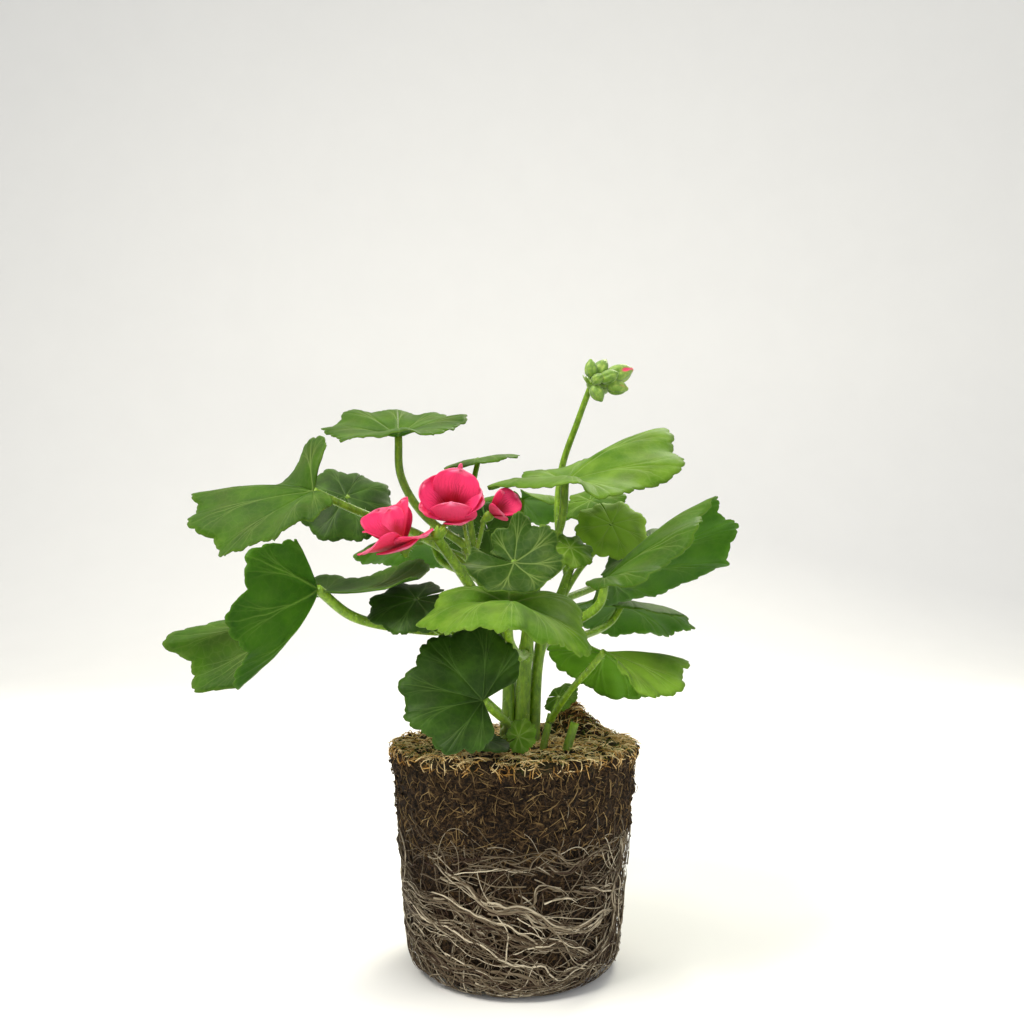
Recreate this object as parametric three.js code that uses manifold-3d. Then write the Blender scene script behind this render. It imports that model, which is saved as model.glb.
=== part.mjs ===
// A zonal geranium lifted out of its pot: a tapered ball of peat wrapped in white roots, a crown of
// green stems, scalloped leaves, one open flower head and one head of buds.
// Millimetres, +Z up. The origin is the centre of the flat underside of the root ball, and the
// side that the plant is seen from faces -Y.
import * as THREE from "three";
import { mergeVertices } from "three/addons/utils/BufferGeometryUtils.js";
import Module from "manifold-3d";

const wasm = await Module();
wasm.setup();

// Driving dimensions of the root ball, which has the form of a 12 cm pot.
const BALL_HEIGHT = 97;
const BALL_TOP_RADIUS = 55;
const BALL_FOOT_RADIUS = 46;
const FOOT_ROUNDING = 9;
const SEAT_RADIUS = 37;
const SEAT_FAN = [6, 4];
const ROOT_LINE = 62;
const ROOT_RECESS = 2.5;
const BALL_SIDES = 40;
const PEAT_ROUGHNESS = 1.4;
const SMOOTH_HEIGHTS = [1.5, 4, 9, 24, 43, ROOT_LINE + 4];
const CRUMBLY_HEIGHTS = [72, 77, 82, 87, 92, 96];
const TOP_HEIGHT = 98;
const TOP_SHARES = [0.94, 0.84, 0.68, 0.5, 0.3];

// The lump of peat at the back of the top: its height, and where it is and how wide, by the turn
// round the axis and by the share of the top's radius.
const LUMP_HEIGHT = 14;
const LUMP_TURN = 0.75;
const LUMP_TURN_WIDTH = 0.3;
const LUMP_SHARE = 0.7;
const LUMP_SHARE_WIDTH = 0.17;

// Sizes that the whole plant shares.
const BLADE_THICKNESS = 0.8;
const PETAL_THICKNESS = 0.8;
const SEAT_GAP = 0.3;
const STEM_SIDES = 6;

const material = (color, roughness) =>
  new THREE.MeshStandardMaterial({ color, roughness, metalness: 0 });
const PEAT = material(0x4a3522, 0.95);
const ROOT = material(0xcbbda4, 0.8);
const STEM = material(0x86a83e, 0.55);
const LEAF = material(0x4f8a2c, 0.6);
const YOUNG_LEAF = material(0x6a9a3f, 0.6);
const SHADE_LEAF = material(0x2c5a26, 0.6);
const PETAL = material(0xee2d62, 0.5);
const BUD = material(0x8fae48, 0.6);

const rad = THREE.MathUtils.degToRad;
const vec = (p) => new THREE.Vector3(...p);

// A repeatable random number from 0 to 1 for each call, from a seed.
function randomFrom(seed) {
  let state = seed;
  return () => {
    state = (state * 1664525 + 1013904223) % 4294967296;
    return state / 4294967296;
  };
}

function solidOf(geometry) {
  const bare = geometry.clone();
  bare.deleteAttribute("normal");
  bare.deleteAttribute("uv");
  const merged = mergeVertices(bare, 1e-4);
  return new wasm.Manifold(
    new wasm.Mesh({
      numProp: 3,
      vertProperties: new Float32Array(merged.attributes.position.array),
      triVerts: new Uint32Array(merged.index.array),
    }),
  );
}

function geometryOf(solid) {
  const mesh = solid.getMesh();
  const points = new Float32Array(mesh.numVert * 3);
  for (let i = 0; i < mesh.numVert; i++)
    for (let k = 0; k < 3; k++)
      points[3 * i + k] = mesh.vertProperties[mesh.numProp * i + k];
  return new THREE.BufferGeometry()
    .setAttribute("position", new THREE.BufferAttribute(points, 3))
    .setIndex(new THREE.BufferAttribute(mesh.triVerts, 1));
}

function fuse(solids) {
  return solids.reduce((all, one) => all.add(one));
}

function largest(solid) {
  return solid.decompose().reduce((best, one) => (one.volume() > best.volume() ? one : best));
}

function indexed(points, triangles) {
  return new THREE.BufferGeometry()
    .setAttribute("position", new THREE.Float32BufferAttribute(points.flatMap((p) => p.toArray()), 3))
    .setIndex(triangles.flat());
}

// A closed tube along a smooth curve through the points, its radius running evenly from one end to
// the other.
function tube(points, startRadius, endRadius, { steps = 6, sides = STEM_SIDES } = {}) {
  const curve = new THREE.CatmullRomCurve3(points.map(vec), false, "centripetal");
  const frames = curve.computeFrenetFrames(steps, false);
  const vertices = [];
  const triangles = [];
  for (let i = 0; i <= steps; i++) {
    const centre = curve.getPointAt(i / steps);
    const radius = startRadius + (endRadius - startRadius) * (i / steps);
    for (let j = 0; j < sides; j++) {
      const turn = (2 * Math.PI * j) / sides;
      vertices.push(
        centre
          .clone()
          .addScaledVector(frames.normals[i], radius * Math.cos(turn))
          .addScaledVector(frames.binormals[i], radius * Math.sin(turn)),
      );
    }
  }
  for (let i = 0; i < steps; i++)
    for (let j = 0; j < sides; j++) {
      const next = (j + 1) % sides;
      const [a, b] = [i * sides + j, i * sides + next];
      triangles.push([a, b, b + sides], [a, b + sides, a + sides]);
    }
  const last = steps * sides;
  for (let j = 1; j < sides - 1; j++) {
    triangles.push([0, j + 1, j]);
    triangles.push([last, last + j, last + j + 1]);
  }
  return solidOf(indexed(vertices, triangles));
}

// A thin sheet given by its middle surface becomes a closed solid: both faces carry the same
// triangles, and every free edge gets a wall.
function thicken(points, triangles, thickness) {
  const middle = indexed(points, triangles);
  middle.computeVertexNormals();
  const normals = middle.attributes.normal;
  const shifted = (side) =>
    points.map((p, i) => {
      const normal = new THREE.Vector3().fromBufferAttribute(normals, i);
      return p.clone().addScaledVector(normal, (side * thickness) / 2);
    });
  const under = points.length;
  const all = [...triangles, ...triangles.map(([a, b, c]) => [under + a, under + c, under + b])];
  const edges = new Set(triangles.flatMap(([a, b, c]) => [`${a} ${b}`, `${b} ${c}`, `${c} ${a}`]));
  for (const edge of edges) {
    const [a, b] = edge.split(" ").map(Number);
    if (!edges.has(`${b} ${a}`)) all.push([b, a, under + a], [b, under + a, under + b]);
  }
  return indexed([...shifted(1), ...shifted(-1)], all);
}

// A leaf has seven main ribs, evenly spaced from one lobe beside the petiole to the other.
const OUTER_RIB = 3;
const RIB_SPACING = rad(46);
const LEAF_SPAN = rad(157);
const BASE_ROUNDING = 0.14;
const LOBE_DEPTH = 0.045;
const TOOTH_DEPTH = 0.022;
const SMALL_LEAF = 33;
const LARGE_LEAF_TEETH = 36;
const SMALL_LEAF_TEETH = 24;
const EDGE_STEP = 0.05;

// The way from the petiole to the leaf's edge at an angle: a smooth curve through the rib tips.
function wayToEdge(ribs, angle) {
  const place = angle / RIB_SPACING + OUTER_RIB;
  const i = THREE.MathUtils.clamp(Math.floor(place), 0, ribs.length - 2);
  const t = place - i;
  const [b, c] = [ribs[i], ribs[i + 1]];
  const a = ribs[i - 1] ?? b.clone().multiplyScalar(2).sub(c);
  const d = ribs[i + 2] ?? c.clone().multiplyScalar(2).sub(b);
  return new THREE.Vector3()
    .addScaledVector(a, (-t + 2 * t * t - t ** 3) / 2)
    .addScaledVector(b, (2 - 5 * t * t + 3 * t ** 3) / 2)
    .addScaledVector(c, (t + 4 * t * t - 3 * t ** 3) / 2)
    .addScaledVector(d, (-t * t + t ** 3) / 2);
}

// Seven rib tips of a leaf that is only drooped evenly, from its midrib, upper face and size.
function plainRibs({ tip, face, size, droop = 0 }) {
  const x = vec(tip).normalize();
  const z = vec(face).addScaledVector(x, -vec(face).dot(x)).normalize();
  const y = new THREE.Vector3().crossVectors(z, x);
  return [-3, -2, -1, 0, 1, 2, 3].map((i) => {
    const angle = i * RIB_SPACING;
    const length = size * (0.92 + 0.08 * Math.cos(angle));
    return new THREE.Vector3()
      .addScaledVector(x, length * Math.cos(rad(droop)) * Math.cos(angle))
      .addScaledVector(y, length * Math.cos(rad(droop)) * Math.sin(angle))
      .addScaledVector(z, -length * Math.sin(rad(droop)));
  });
}

function ribsOf(leaf) {
  return leaf.ribs ? leaf.ribs.map((end) => vec(end).sub(vec(leaf.at))) : plainRibs(leaf);
}

// A geranium blade: scalloped, with each rib bowed towards the upper face by a share of its length.
function bladeGeometry(leaf, thickness = BLADE_THICKNESS) {
  const { at, arch = 0.06, ruffle = 0.035 } = leaf;
  const ribs = ribsOf(leaf);
  const teeth = leaf.size < SMALL_LEAF ? SMALL_LEAF_TEETH : LARGE_LEAF_TEETH;
  const rings = [
    { share: 0.36, count: teeth / 4 },
    { share: 0.7, count: teeth / 2 },
    { share: 1, count: teeth },
  ];
  const points = [vec(at)];
  const starts = [];
  for (const { share, count } of rings) {
    starts.push(points.length);
    for (let i = 0; i <= count; i++) {
      const angle = -LEAF_SPAN + (2 * LEAF_SPAN * i) / count;
      const way = wayToEdge(ribs, angle);
      const along = wayToEdge(ribs, angle + EDGE_STEP).sub(wayToEdge(ribs, angle - EDGE_STEP));
      const up = way.clone().cross(along).normalize();
      const lobes = LOBE_DEPTH * (Math.cos((2 * Math.PI * angle) / RIB_SPACING) - 1);
      const past = Math.max(0, Math.abs(angle) - OUTER_RIB * RIB_SPACING);
      const base = (BASE_ROUNDING * past) / (LEAF_SPAN - OUTER_RIB * RIB_SPACING);
      const reach = share * (1 - base + lobes + (i % 2 === 1 ? TOOTH_DEPTH : -TOOTH_DEPTH));
      const bow = 4 * arch * reach * (1 - reach);
      const wave = ruffle * share ** 3 * Math.sin((2 * Math.PI * angle) / RIB_SPACING + 1);
      const point = vec(at).addScaledVector(way, reach);
      points.push(point.addScaledVector(up, way.length() * (bow + wave)));
    }
  }
  const triangles = [];
  for (let i = 0; i < rings[0].count; i++)
    triangles.push([0, starts[0] + i, starts[0] + i + 1]);
  for (let k = 1; k < rings.length; k++)
    for (let i = 0; i < rings[k - 1].count; i++) {
      const inner = starts[k - 1] + i;
      const outer = starts[k] + 2 * i;
      triangles.push([inner, outer, outer + 1]);
      triangles.push([inner, outer + 1, inner + 1]);
      triangles.push([inner + 1, outer + 1, outer + 2]);
    }
  return thicken(points, triangles, thickness);
}

// Main stems, each a list of points from its foot in the peat to its last leaf.
const STEM_FOOT = 84;
const MAIN_STEMS = {
  right: {
    points: [[3, 0, STEM_FOOT], [3.5, 0, 100], [5.5, -1, 140], [10, 2, 172], [14, 6, 196]],
    radii: [3.8, 2.4],
  },
  outer: {
    points: [[8, 2, STEM_FOOT], [9, 2, 100], [12, 4, 140], [22, 12, 165], [30, 24, 186]],
    radii: [3, 2],
  },
  left: {
    points: [[-2, 1, STEM_FOOT], [-2.5, 1, 100], [-3, 2, 135], [-10, 2, 165], [-22, 2, 186]],
    radii: [3.5, 2.2],
  },
  back: {
    points: [[2, 5, STEM_FOOT], [1, 7, 100], [-3, 18, 140], [-6, 30, 172]],
    radii: [3.2, 2.2],
  },
};

// Every leaf: where its petiole joins the blade and either the ends of its seven ribs, listed
// anticlockwise as its upper face is looked at, or the way its midrib and upper face look with its
// size and droop. Then the petiole's way from its stem.
const LEAVES = [
  {
    name: "leaf_left_trough", at: [-73, -75, 167], look: LEAF, arch: -0.1,
    ribs: [
      [-37, -42, 178], [-85, -28, 172], [-132, -66, 149], [-119, -72, 128], [-100, -84, 134],
      [-99, -100, 155], [-93, -98, 179],
    ],
    petiole: [[-6, 2, 148], [-38, -34, 150], [-62, -58, 156]], thick: 1.9,
  },
  {
    name: "leaf_left_upper", at: [-82, -40, 207], look: LEAF, arch: 0.06,
    ribs: [
      [-84, -28, 231], [-111, -2, 211], [-135, -26, 207], [-131, -46, 192], [-110, -66, 179],
      [-84, -80, 188], [-73, -72, 195],
    ],
    petiole: [[-13, 2, 170], [-40, -8, 190], [-64, -28, 199]], thick: 1.7,
  },
  {
    name: "leaf_left_speckled", at: [-80, 22, 211], tip: [-0.3, -0.6, -0.75], face: [0.1, -0.8, 0.55],
    size: 27, droop: 8, look: SHADE_LEAF,
    petiole: [[-17, 2, 179], [-42, 16, 190], [-68, 26, 203]], thick: 1.3,
  },
  {
    name: "leaf_top_left", at: [-50, -18, 233], look: LEAF, arch: 0.05,
    ribs: [
      [-75, 6, 249], [-84, -16, 236], [-66, -48, 227], [-45, -56, 229], [-27, -46, 230],
      [-20, -18, 242], [-34, 8, 248],
    ],
    petiole: [[-21, 2, 186], [-40, -10, 200], [-49, -17, 216]], thick: 1.7,
  },
  {
    name: "leaf_top_back", at: [-17, 24, 229], tip: [0.6, -0.7, 0], face: [0, -0.35, 0.93],
    size: 21, droop: 5, look: LEAF,
    petiole: [[-17, 3, 182], [-20, 0, 200], [-19, 16, 217]], thick: 1.3,
  },
  {
    name: "leaf_top_right", at: [22, -20, 213], look: LEAF, arch: 0.08,
    ribs: [
      [-11, -34, 209], [23, -58, 208], [39, -50, 203], [72, -26, 217], [70, 2, 239],
      [41, 22, 228], [7, 4, 220],
    ],
    petiole: [[11, 3, 178], [17, -10, 186], [21, -18, 198]], thick: 1.7,
  },
  {
    name: "leaf_young_front", at: [0, -68, 177], look: YOUNG_LEAF, arch: -0.05, ruffle: 0.07, size: 22,
    ribs: [
      [-20, -83, 175], [-5, -87, 165], [12, -84, 168], [19, -76, 177], [16, -66, 189],
      [2, -60, 198], [-8, -62, 189],
    ],
    petiole: [[7, 0, 158], [4, -30, 164], [1, -50, 171]], thick: 1.3,
  },
  {
    name: "leaf_front_umbrella", at: [-2, -70, 161], look: YOUNG_LEAF, arch: 0.13,
    ribs: [
      [-25, -62, 167], [-37, -76, 153], [-20, -104, 152], [-1, -110, 153], [12, -101, 148],
      [28, -82, 142], [25, -56, 162],
    ],
    petiole: [[5, -1, 138], [2, -33, 139], [-2, -58, 148]], thick: 1.8,
  },
  {
    name: "leaf_front_low", at: [-12, -62, 124], look: SHADE_LEAF, arch: 0.08,
    ribs: [
      [1, -60, 143], [-10, -56, 156], [-34, -62, 147], [-44, -70, 131], [-40, -78, 118],
      [-25, -82, 106], [-13, -76, 107],
    ],
    petiole: [[-4, 0, 103], [-3, -25, 110], [-8, -48, 118]], thick: 1.6,
  },
  {
    name: "leaf_right_fold", at: [37, -42, 171], look: LEAF, arch: 0.06,
    ribs: [
      [34, -72, 168], [49, -78, 170], [71, -66, 189], [82, -42, 205], [97, -22, 193],
      [92, -8, 175], [52, -10, 162],
    ],
    petiole: [[9, 0, 152], [24, -32, 153], [35, -40, 161]], thick: 1.9,
  },
  {
    name: "leaf_right_back", at: [45, 10, 197], tip: [0.3, -0.5, -0.8], face: [0.1, -0.85, 0.5],
    size: 20, droop: 6, look: YOUNG_LEAF,
    petiole: [[18, 8, 155], [30, 16, 175], [42, 15, 190]], thick: 1.3,
  },
  {
    name: "leaf_right_shade", at: [66, 44, 186], tip: [0.9, -0.4, 0.1], face: [-0.1, -0.5, 0.85],
    size: 32, droop: 5, look: SHADE_LEAF,
    petiole: [[20, 11, 161], [44, 34, 170], [60, 42, 178]], thick: 1.6,
  },
  {
    name: "leaf_behind_top", at: [38, 44, 211], tip: [0.9, -0.3, 0.1], face: [0, -0.6, 0.8],
    size: 19, droop: 4, look: LEAF,
    petiole: [[28, 22, 182], [34, 38, 193], [38, 46, 203]], thick: 1.2,
  },
  {
    name: "leaf_young_right", at: [23, -38, 184], tip: [0.8, -0.2, -0.45], face: [0.3, -0.7, 0.6],
    size: 12, droop: 8, ruffle: 0.07, look: YOUNG_LEAF,
    petiole: [[10, 2, 172], [15, -18, 172], [21, -32, 178]], thick: 1.1,
  },
  {
    name: "leaf_left_shade", at: [-38, -58, 163], tip: [-0.9, -0.4, -0.25], face: [-0.1, -0.6, 0.8],
    size: 21, droop: 10, look: SHADE_LEAF,
    petiole: [[-4, 2, 140], [-22, -28, 145], [-35, -50, 154]], thick: 1.2,
  },
  {
    name: "leaf_centre_shade", at: [-13, 34, 196], tip: [0.2, -0.4, -0.9], face: [0, -0.9, 0.4],
    size: 25, droop: 6, look: SHADE_LEAF,
    petiole: [[-5, 27, 166], [-9, 38, 178], [-12, 38, 190]], thick: 1.3,
  },
  {
    name: "leaf_base_small", at: [2, -45, 107.5], tip: [0.75, -0.3, 0.5], face: [0.1, -0.8, 0.6],
    size: 9.5, droop: 5, look: YOUNG_LEAF,
    petiole: [[2, 0, 101], [3, -20, 102], [2, -39, 104]], thick: 0.9,
  },
  {
    name: "leaf_base_flat", at: [-10, -36, 104], tip: [-0.7, -0.6, 0], face: [-0.1, -0.4, 0.9],
    size: 13, droop: 0, look: SHADE_LEAF,
    petiole: [[-3, 0, 101], [-6, -18, 101.5], [-9, -31, 102]], thick: 0.9,
  },
  {
    name: "leaf_back_left", at: [-42, 62, 192], tip: [-0.6, 0.75, -0.1], face: [-0.15, 0.3, 0.95],
    size: 44, droop: 12, arch: 0.1, look: LEAF,
    petiole: [[-5, 26, 165], [-22, 46, 174], [-38, 58, 182]], thick: 1.8,
  },
  {
    name: "leaf_back_mid", at: [4, 76, 215], tip: [0.1, 0.95, -0.05], face: [0, 0.2, 0.97],
    size: 42, droop: 12, arch: 0.1, look: LEAF,
    petiole: [[-6, 29, 170], [-3, 54, 188], [3, 71, 203]], thick: 1.8,
  },
  {
    name: "leaf_back_right", at: [56, 66, 158], tip: [0.6, 0.75, -0.2], face: [0.2, 0.35, 0.9],
    size: 42, droop: 12, arch: 0.1, look: LEAF,
    petiole: [[12, 4, 142], [34, 38, 144], [50, 60, 150]], thick: 1.8,
  },
  {
    name: "leaf_back_low", at: [-28, 56, 130], tip: [-0.3, 0.9, -0.15], face: [-0.1, 0.35, 0.92],
    size: 32, droop: 12, arch: 0.1, look: SHADE_LEAF,
    petiole: [[1, 8, 104], [-12, 30, 112], [-25, 50, 122]], thick: 1.5,
  },
];

// A side shoot with two leaves and a cut stub, which come out of the peat by themselves.
const SHOOT_FOOT = 86;
const SIDE_SHOOT = { points: [[12, -18, SHOOT_FOOT], [12.5, -18, 97], [16, -17, 113]], radii: [1.9, 1.5] };
const CUT_STUB = { points: [[22, -24, SHOOT_FOOT], [22.5, -24, 98], [26, -23, 110]], radii: [2.1, 1.9] };
const SHOOT_LEAVES = [
  {
    name: "leaf_side_shoot", at: [20, -6, 119], tip: [0.7, -0.6, 0.1], face: [-0.2, -0.7, 0.7],
    size: 11, droop: 5, look: YOUNG_LEAF,
    petiole: [[15.2, -17, 109], [18, -11, 114]], thick: 1,
  },
  {
    name: "leaf_right_low", at: [36, -48, 142], look: LEAF, arch: 0.06,
    ribs: [
      [43, -70, 134], [51, -76, 125], [64, -68, 128], [70, -48, 138], [56, -12, 118],
      [35, -12, 122], [15, -24, 138],
    ],
    petiole: [[15.5, -17.5, 110], [24, -31, 125], [32, -43, 136]], thick: 1.4,
  },
];

// The open flower head: two stalks, and for each floret its foot, the way it opens, its size, the
// umbel that its pedicel comes from and the point that the pedicel bows through.
const UMBEL = [-30, -56, 187];
const HEAD_STALK = { points: [[-4, 1, 148], [-13, -22, 160], [-23, -44, 176], UMBEL], radii: [2.4, 2] };
const BACK_UMBEL = [-17, -34, 178];
const BACK_STALK = {
  points: [[-5, 1, 154], [-10, -12, 162], [-15, -27, 171], BACK_UMBEL],
  radii: [1.8, 1.4],
};
const FLORETS = [
  {
    name: "floret_front", foot: [-24, -44, 196], open: [0, -0.78, 0.63], size: 19,
    from: UMBEL, bow: [-28, -50, 192],
  },
  {
    name: "floret_left", foot: [-43.5, -58, 183.5], open: [-0.4, 0.05, 0.9], size: 18,
    from: UMBEL, bow: [-38, -58, 186],
  },
  {
    name: "floret_right", foot: [-10, -40, 197], open: [0.75, -0.15, 0.6], size: 12,
    from: BACK_UMBEL, bow: [-14, -38, 188],
  },
  {
    name: "floret_back", foot: [-22, -20, 199], open: [-0.1, 0.55, 0.83], size: 13,
    from: BACK_UMBEL, bow: [-20, -27, 189],
  },
];
const PEDICEL_RADIUS = 0.95;
const CALYX_LENGTH = 4;
const CALYX_RADII = [0.9, 2.2];
const FLORET_FOOT_RADIUS = 2.2;
const FLORET_TURN = 25;

// The head of closed buds above the right-hand leaf: which way each bud points from the centre and
// how far out its middle is.
const BUD_CENTRE = [36, 10, 262];
const BUD_STALK = {
  points: [[25, 17, 174], [21, 25, 200], [23, 27, 225], [30, 18, 246], [34.55, 10.7, 259.5]],
  radii: [1.9, 1.4],
};
const BUD_LENGTH = 10;
const BUD_RADIUS = 3;
const BUD_CORE_RADIUS = 2.6;
const SHORT_PEDICEL = 7;
const BUDS = [
  { way: [-0.1, 0.1, 1], out: 6.5 }, { way: [0.6, -0.35, 0.85], out: 7.5 },
  { way: [0.6, 0.5, 0.8], out: 8 }, { way: [0.95, 0.1, 0.25], out: 12.5 },
  { way: [0.9, -0.45, -0.15], out: 11 }, { way: [0.25, -0.9, 0.3], out: 6.5 },
  { way: [0.35, 0.9, 0.1], out: 6.5 }, { way: [-0.8, -0.25, 0.35], out: 4.5 },
  { way: [0.6, -0.1, -0.6], out: 7.5 },
];

// Outer radius of the ball at a height, with its foot rounded by the pot.
function ballRadius(height) {
  const wall = BALL_FOOT_RADIUS + ((BALL_TOP_RADIUS - BALL_FOOT_RADIUS) * height) / BALL_HEIGHT;
  const short = Math.max(0, FOOT_ROUNDING - height);
  return wall - (FOOT_ROUNDING - Math.sqrt(FOOT_ROUNDING ** 2 - short ** 2));
}

// The ball of peat: smooth where the roots lie on it, crumbly above them, with a lump at the back
// and holes for what stands in it. The seat's triangles meet beside the axis, so that the origin
// lies inside one of them.
function ballSolid(holes) {
  const random = randomFrom(7);
  const rough = (depth) => depth * (2 * random() - 1);
  const points = [new THREE.Vector3(...SEAT_FAN, 0)];
  const ring = (place) => {
    for (let i = 0; i < BALL_SIDES; i++) {
      const turn = (2 * Math.PI * i) / BALL_SIDES;
      const [radius, height] = place(turn);
      points.push(new THREE.Vector3(radius * Math.cos(turn), radius * Math.sin(turn), height));
    }
  };
  ring(() => [SEAT_RADIUS, 0]);
  for (const height of SMOOTH_HEIGHTS)
    ring(() => [ballRadius(height) - ROOT_RECESS, height]);
  for (const height of CRUMBLY_HEIGHTS)
    ring(() => [ballRadius(height) + rough(PEAT_ROUGHNESS), height + rough(PEAT_ROUGHNESS)]);
  for (const share of TOP_SHARES)
    ring((turn) => {
      const round = (turn - LUMP_TURN) / LUMP_TURN_WIDTH;
      const out = (share - LUMP_SHARE) / LUMP_SHARE_WIDTH;
      const height = TOP_HEIGHT + LUMP_HEIGHT * Math.exp(-(round ** 2) - out ** 2);
      return [share * BALL_TOP_RADIUS + rough(PEAT_ROUGHNESS), height + rough(PEAT_ROUGHNESS)];
    });
  points.push(new THREE.Vector3(0, 0, TOP_HEIGHT));
  const top = points.length - 1;
  const rows = (points.length - 2) / BALL_SIDES;
  const triangles = [];
  const at = (row, i) => 1 + row * BALL_SIDES + (i % BALL_SIDES);
  for (let i = 0; i < BALL_SIDES; i++) {
    triangles.push([0, at(0, i + 1), at(0, i)]);
    triangles.push([top, at(rows - 1, i), at(rows - 1, i + 1)]);
    for (let row = 1; row < rows; row++) {
      triangles.push([at(row - 1, i), at(row - 1, i + 1), at(row, i + 1)]);
      triangles.push([at(row - 1, i), at(row, i + 1), at(row, i)]);
    }
  }
  return solidOf(indexed(points, triangles)).subtract(holes);
}

// Roots that circled inside the pot and grew together: a net of flat strands round the ball. Its
// crossings are staggered from row to row, and the strands frame four-cornered openings.
const NET_COLUMNS = 12;
const NET_ROWS = 14;
const NET_FOOT = 3;
const NET_LEAN = 0.016;
const NET_SINK = 0.05;
const NET_THICKNESS = 1.1;
const HEIGHT_UNEVENNESS = 0.8;
const TURN_UNEVENNESS = 0.5;
const OPENING_SHARE = 0.7;
const OPENING_UNEVENNESS = 0.2;
function rootNetGeometry() {
  const random = randomFrom(3);
  const rowHeight = (ROOT_LINE + 1 - NET_FOOT) / (NET_ROWS - 1);
  const onBall = ([turn, height]) => {
    const radius = ballRadius(height) - NET_SINK;
    return new THREE.Vector3(radius * Math.cos(turn), radius * Math.sin(turn), height);
  };
  const crossings = [];
  for (let row = 0; row < NET_ROWS; row++) {
    for (let column = 0; column < NET_COLUMNS; column++) {
      const unevenness = row === 0 ? 0 : HEIGHT_UNEVENNESS * (random() - 0.5);
      const height = NET_FOOT + rowHeight * (row + unevenness);
      const step = column + (row % 2) / 2 + TURN_UNEVENNESS * (random() - 0.5);
      crossings.push([(2 * Math.PI * step) / NET_COLUMNS - NET_LEAN * height, height]);
    }
  }
  const points = crossings.map(onBall);
  const triangles = [];
  for (let row = 1; row < NET_ROWS - 1; row++)
    for (let column = 0; column < NET_COLUMNS; column++) {
      const next = (column + 1) % NET_COLUMNS;
      const between = row % 2 ? next : column;
      const corners = [
        (row - 1) * NET_COLUMNS + between, row * NET_COLUMNS + next,
        (row + 1) * NET_COLUMNS + between, row * NET_COLUMNS + column,
      ];
      const first = points.length;
      const places = corners.map((i) => points[i]);
      const centre = places.reduce((sum, one) => sum.add(one), new THREE.Vector3()).divideScalar(4);
      for (const place of places) {
        const share = OPENING_SHARE + OPENING_UNEVENNESS * (random() - 0.5);
        const height = centre.z + (place.z - centre.z) * share;
        const inner = centre.clone().lerp(place, share);
        points.push(onBall([Math.atan2(inner.y, inner.x), height]));
      }
      for (let k = 0; k < 4; k++) {
        const [a, b] = [corners[k], corners[(k + 1) % 4]];
        const [c, d] = [first + ((k + 1) % 4), first + k];
        triangles.push([a, b, c], [a, c, d]);
      }
    }
  return thicken(points, triangles, NET_THICKNESS);
}

// One whorl of petals as a sheet: joined round the floret's foot and parted further out. Each petal
// rises from the foot at one angle and bends over by another, and its tip is rounded.
const PETAL_SHARES = [0.3, 0.55, 0.8, 1];
const PETAL_SPREAD = 0.93;
const TIP_ROUNDING = 0.12;
function whorlSolid({ petals, columns, size, rise, bend, cup, start, base }) {
  const tip = PETAL_SHARES.length - 1;
  const points = [new THREE.Vector3(0, 0, base)];
  const index = new Map();
  const put = (ring, petal, column) => {
    const joined = ring === 0 && column === columns;
    const key = joined ? `0 ${(petal + 1) % petals} 0` : `${ring} ${petal} ${column}`;
    if (index.has(key)) return index.get(key);
    const share = PETAL_SHARES[ring];
    const across = (2 * column) / columns - 1;
    const spread = ring === 0 ? 1 : PETAL_SPREAD;
    const turn = rad(start) + (2 * Math.PI * (petal + 0.5 * spread * across)) / petals;
    const reach = size * share * (ring === tip ? 1 - TIP_ROUNDING * across * across : 1);
    const swing = rad(bend) * share;
    const along = (reach * (Math.sin(rad(rise) + swing) - Math.sin(rad(rise)))) / swing;
    const up = (reach * (Math.cos(rad(rise)) - Math.cos(rad(rise) + swing))) / swing;
    const lift = ring === 0 ? 0 : cup * size * share * across * across;
    points.push(new THREE.Vector3(along * Math.cos(turn), along * Math.sin(turn), base + up + lift));
    index.set(key, points.length - 1);
    return points.length - 1;
  };
  const triangles = [];
  for (let petal = 0; petal < petals; petal++)
    for (let column = 0; column < columns; column++) {
      triangles.push([0, put(0, petal, column), put(0, petal, column + 1)]);
      for (let ring = 1; ring <= tip; ring++) {
        const [a, b] = [put(ring - 1, petal, column), put(ring - 1, petal, column + 1)];
        const [c, d] = [put(ring, petal, column + 1), put(ring, petal, column)];
        triangles.push([a, d, c], [a, c, b]);
      }
    }
  return solidOf(thicken(points, triangles, PETAL_THICKNESS));
}

// A semi-double floret: five outer petals, three inner ones and the foot that they grow from.
function floretSolid(size, start) {
  const foot = new THREE.SphereGeometry(FLORET_FOOT_RADIUS, 6, 4)
    .rotateX(Math.PI / 2)
    .translate(0, 0, FLORET_FOOT_RADIUS);
  const outer = { petals: 5, columns: 3, size, rise: 58, bend: -44, cup: 0.1, start, base: 1.2 };
  const inner = {
    petals: 3, columns: 2, size: size * 0.75, rise: 74, bend: -30, cup: 0.12, start: start + 36,
    base: 3.4,
  };
  return fuse([solidOf(foot), whorlSolid(outer), whorlSolid(inner)]);
}

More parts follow.
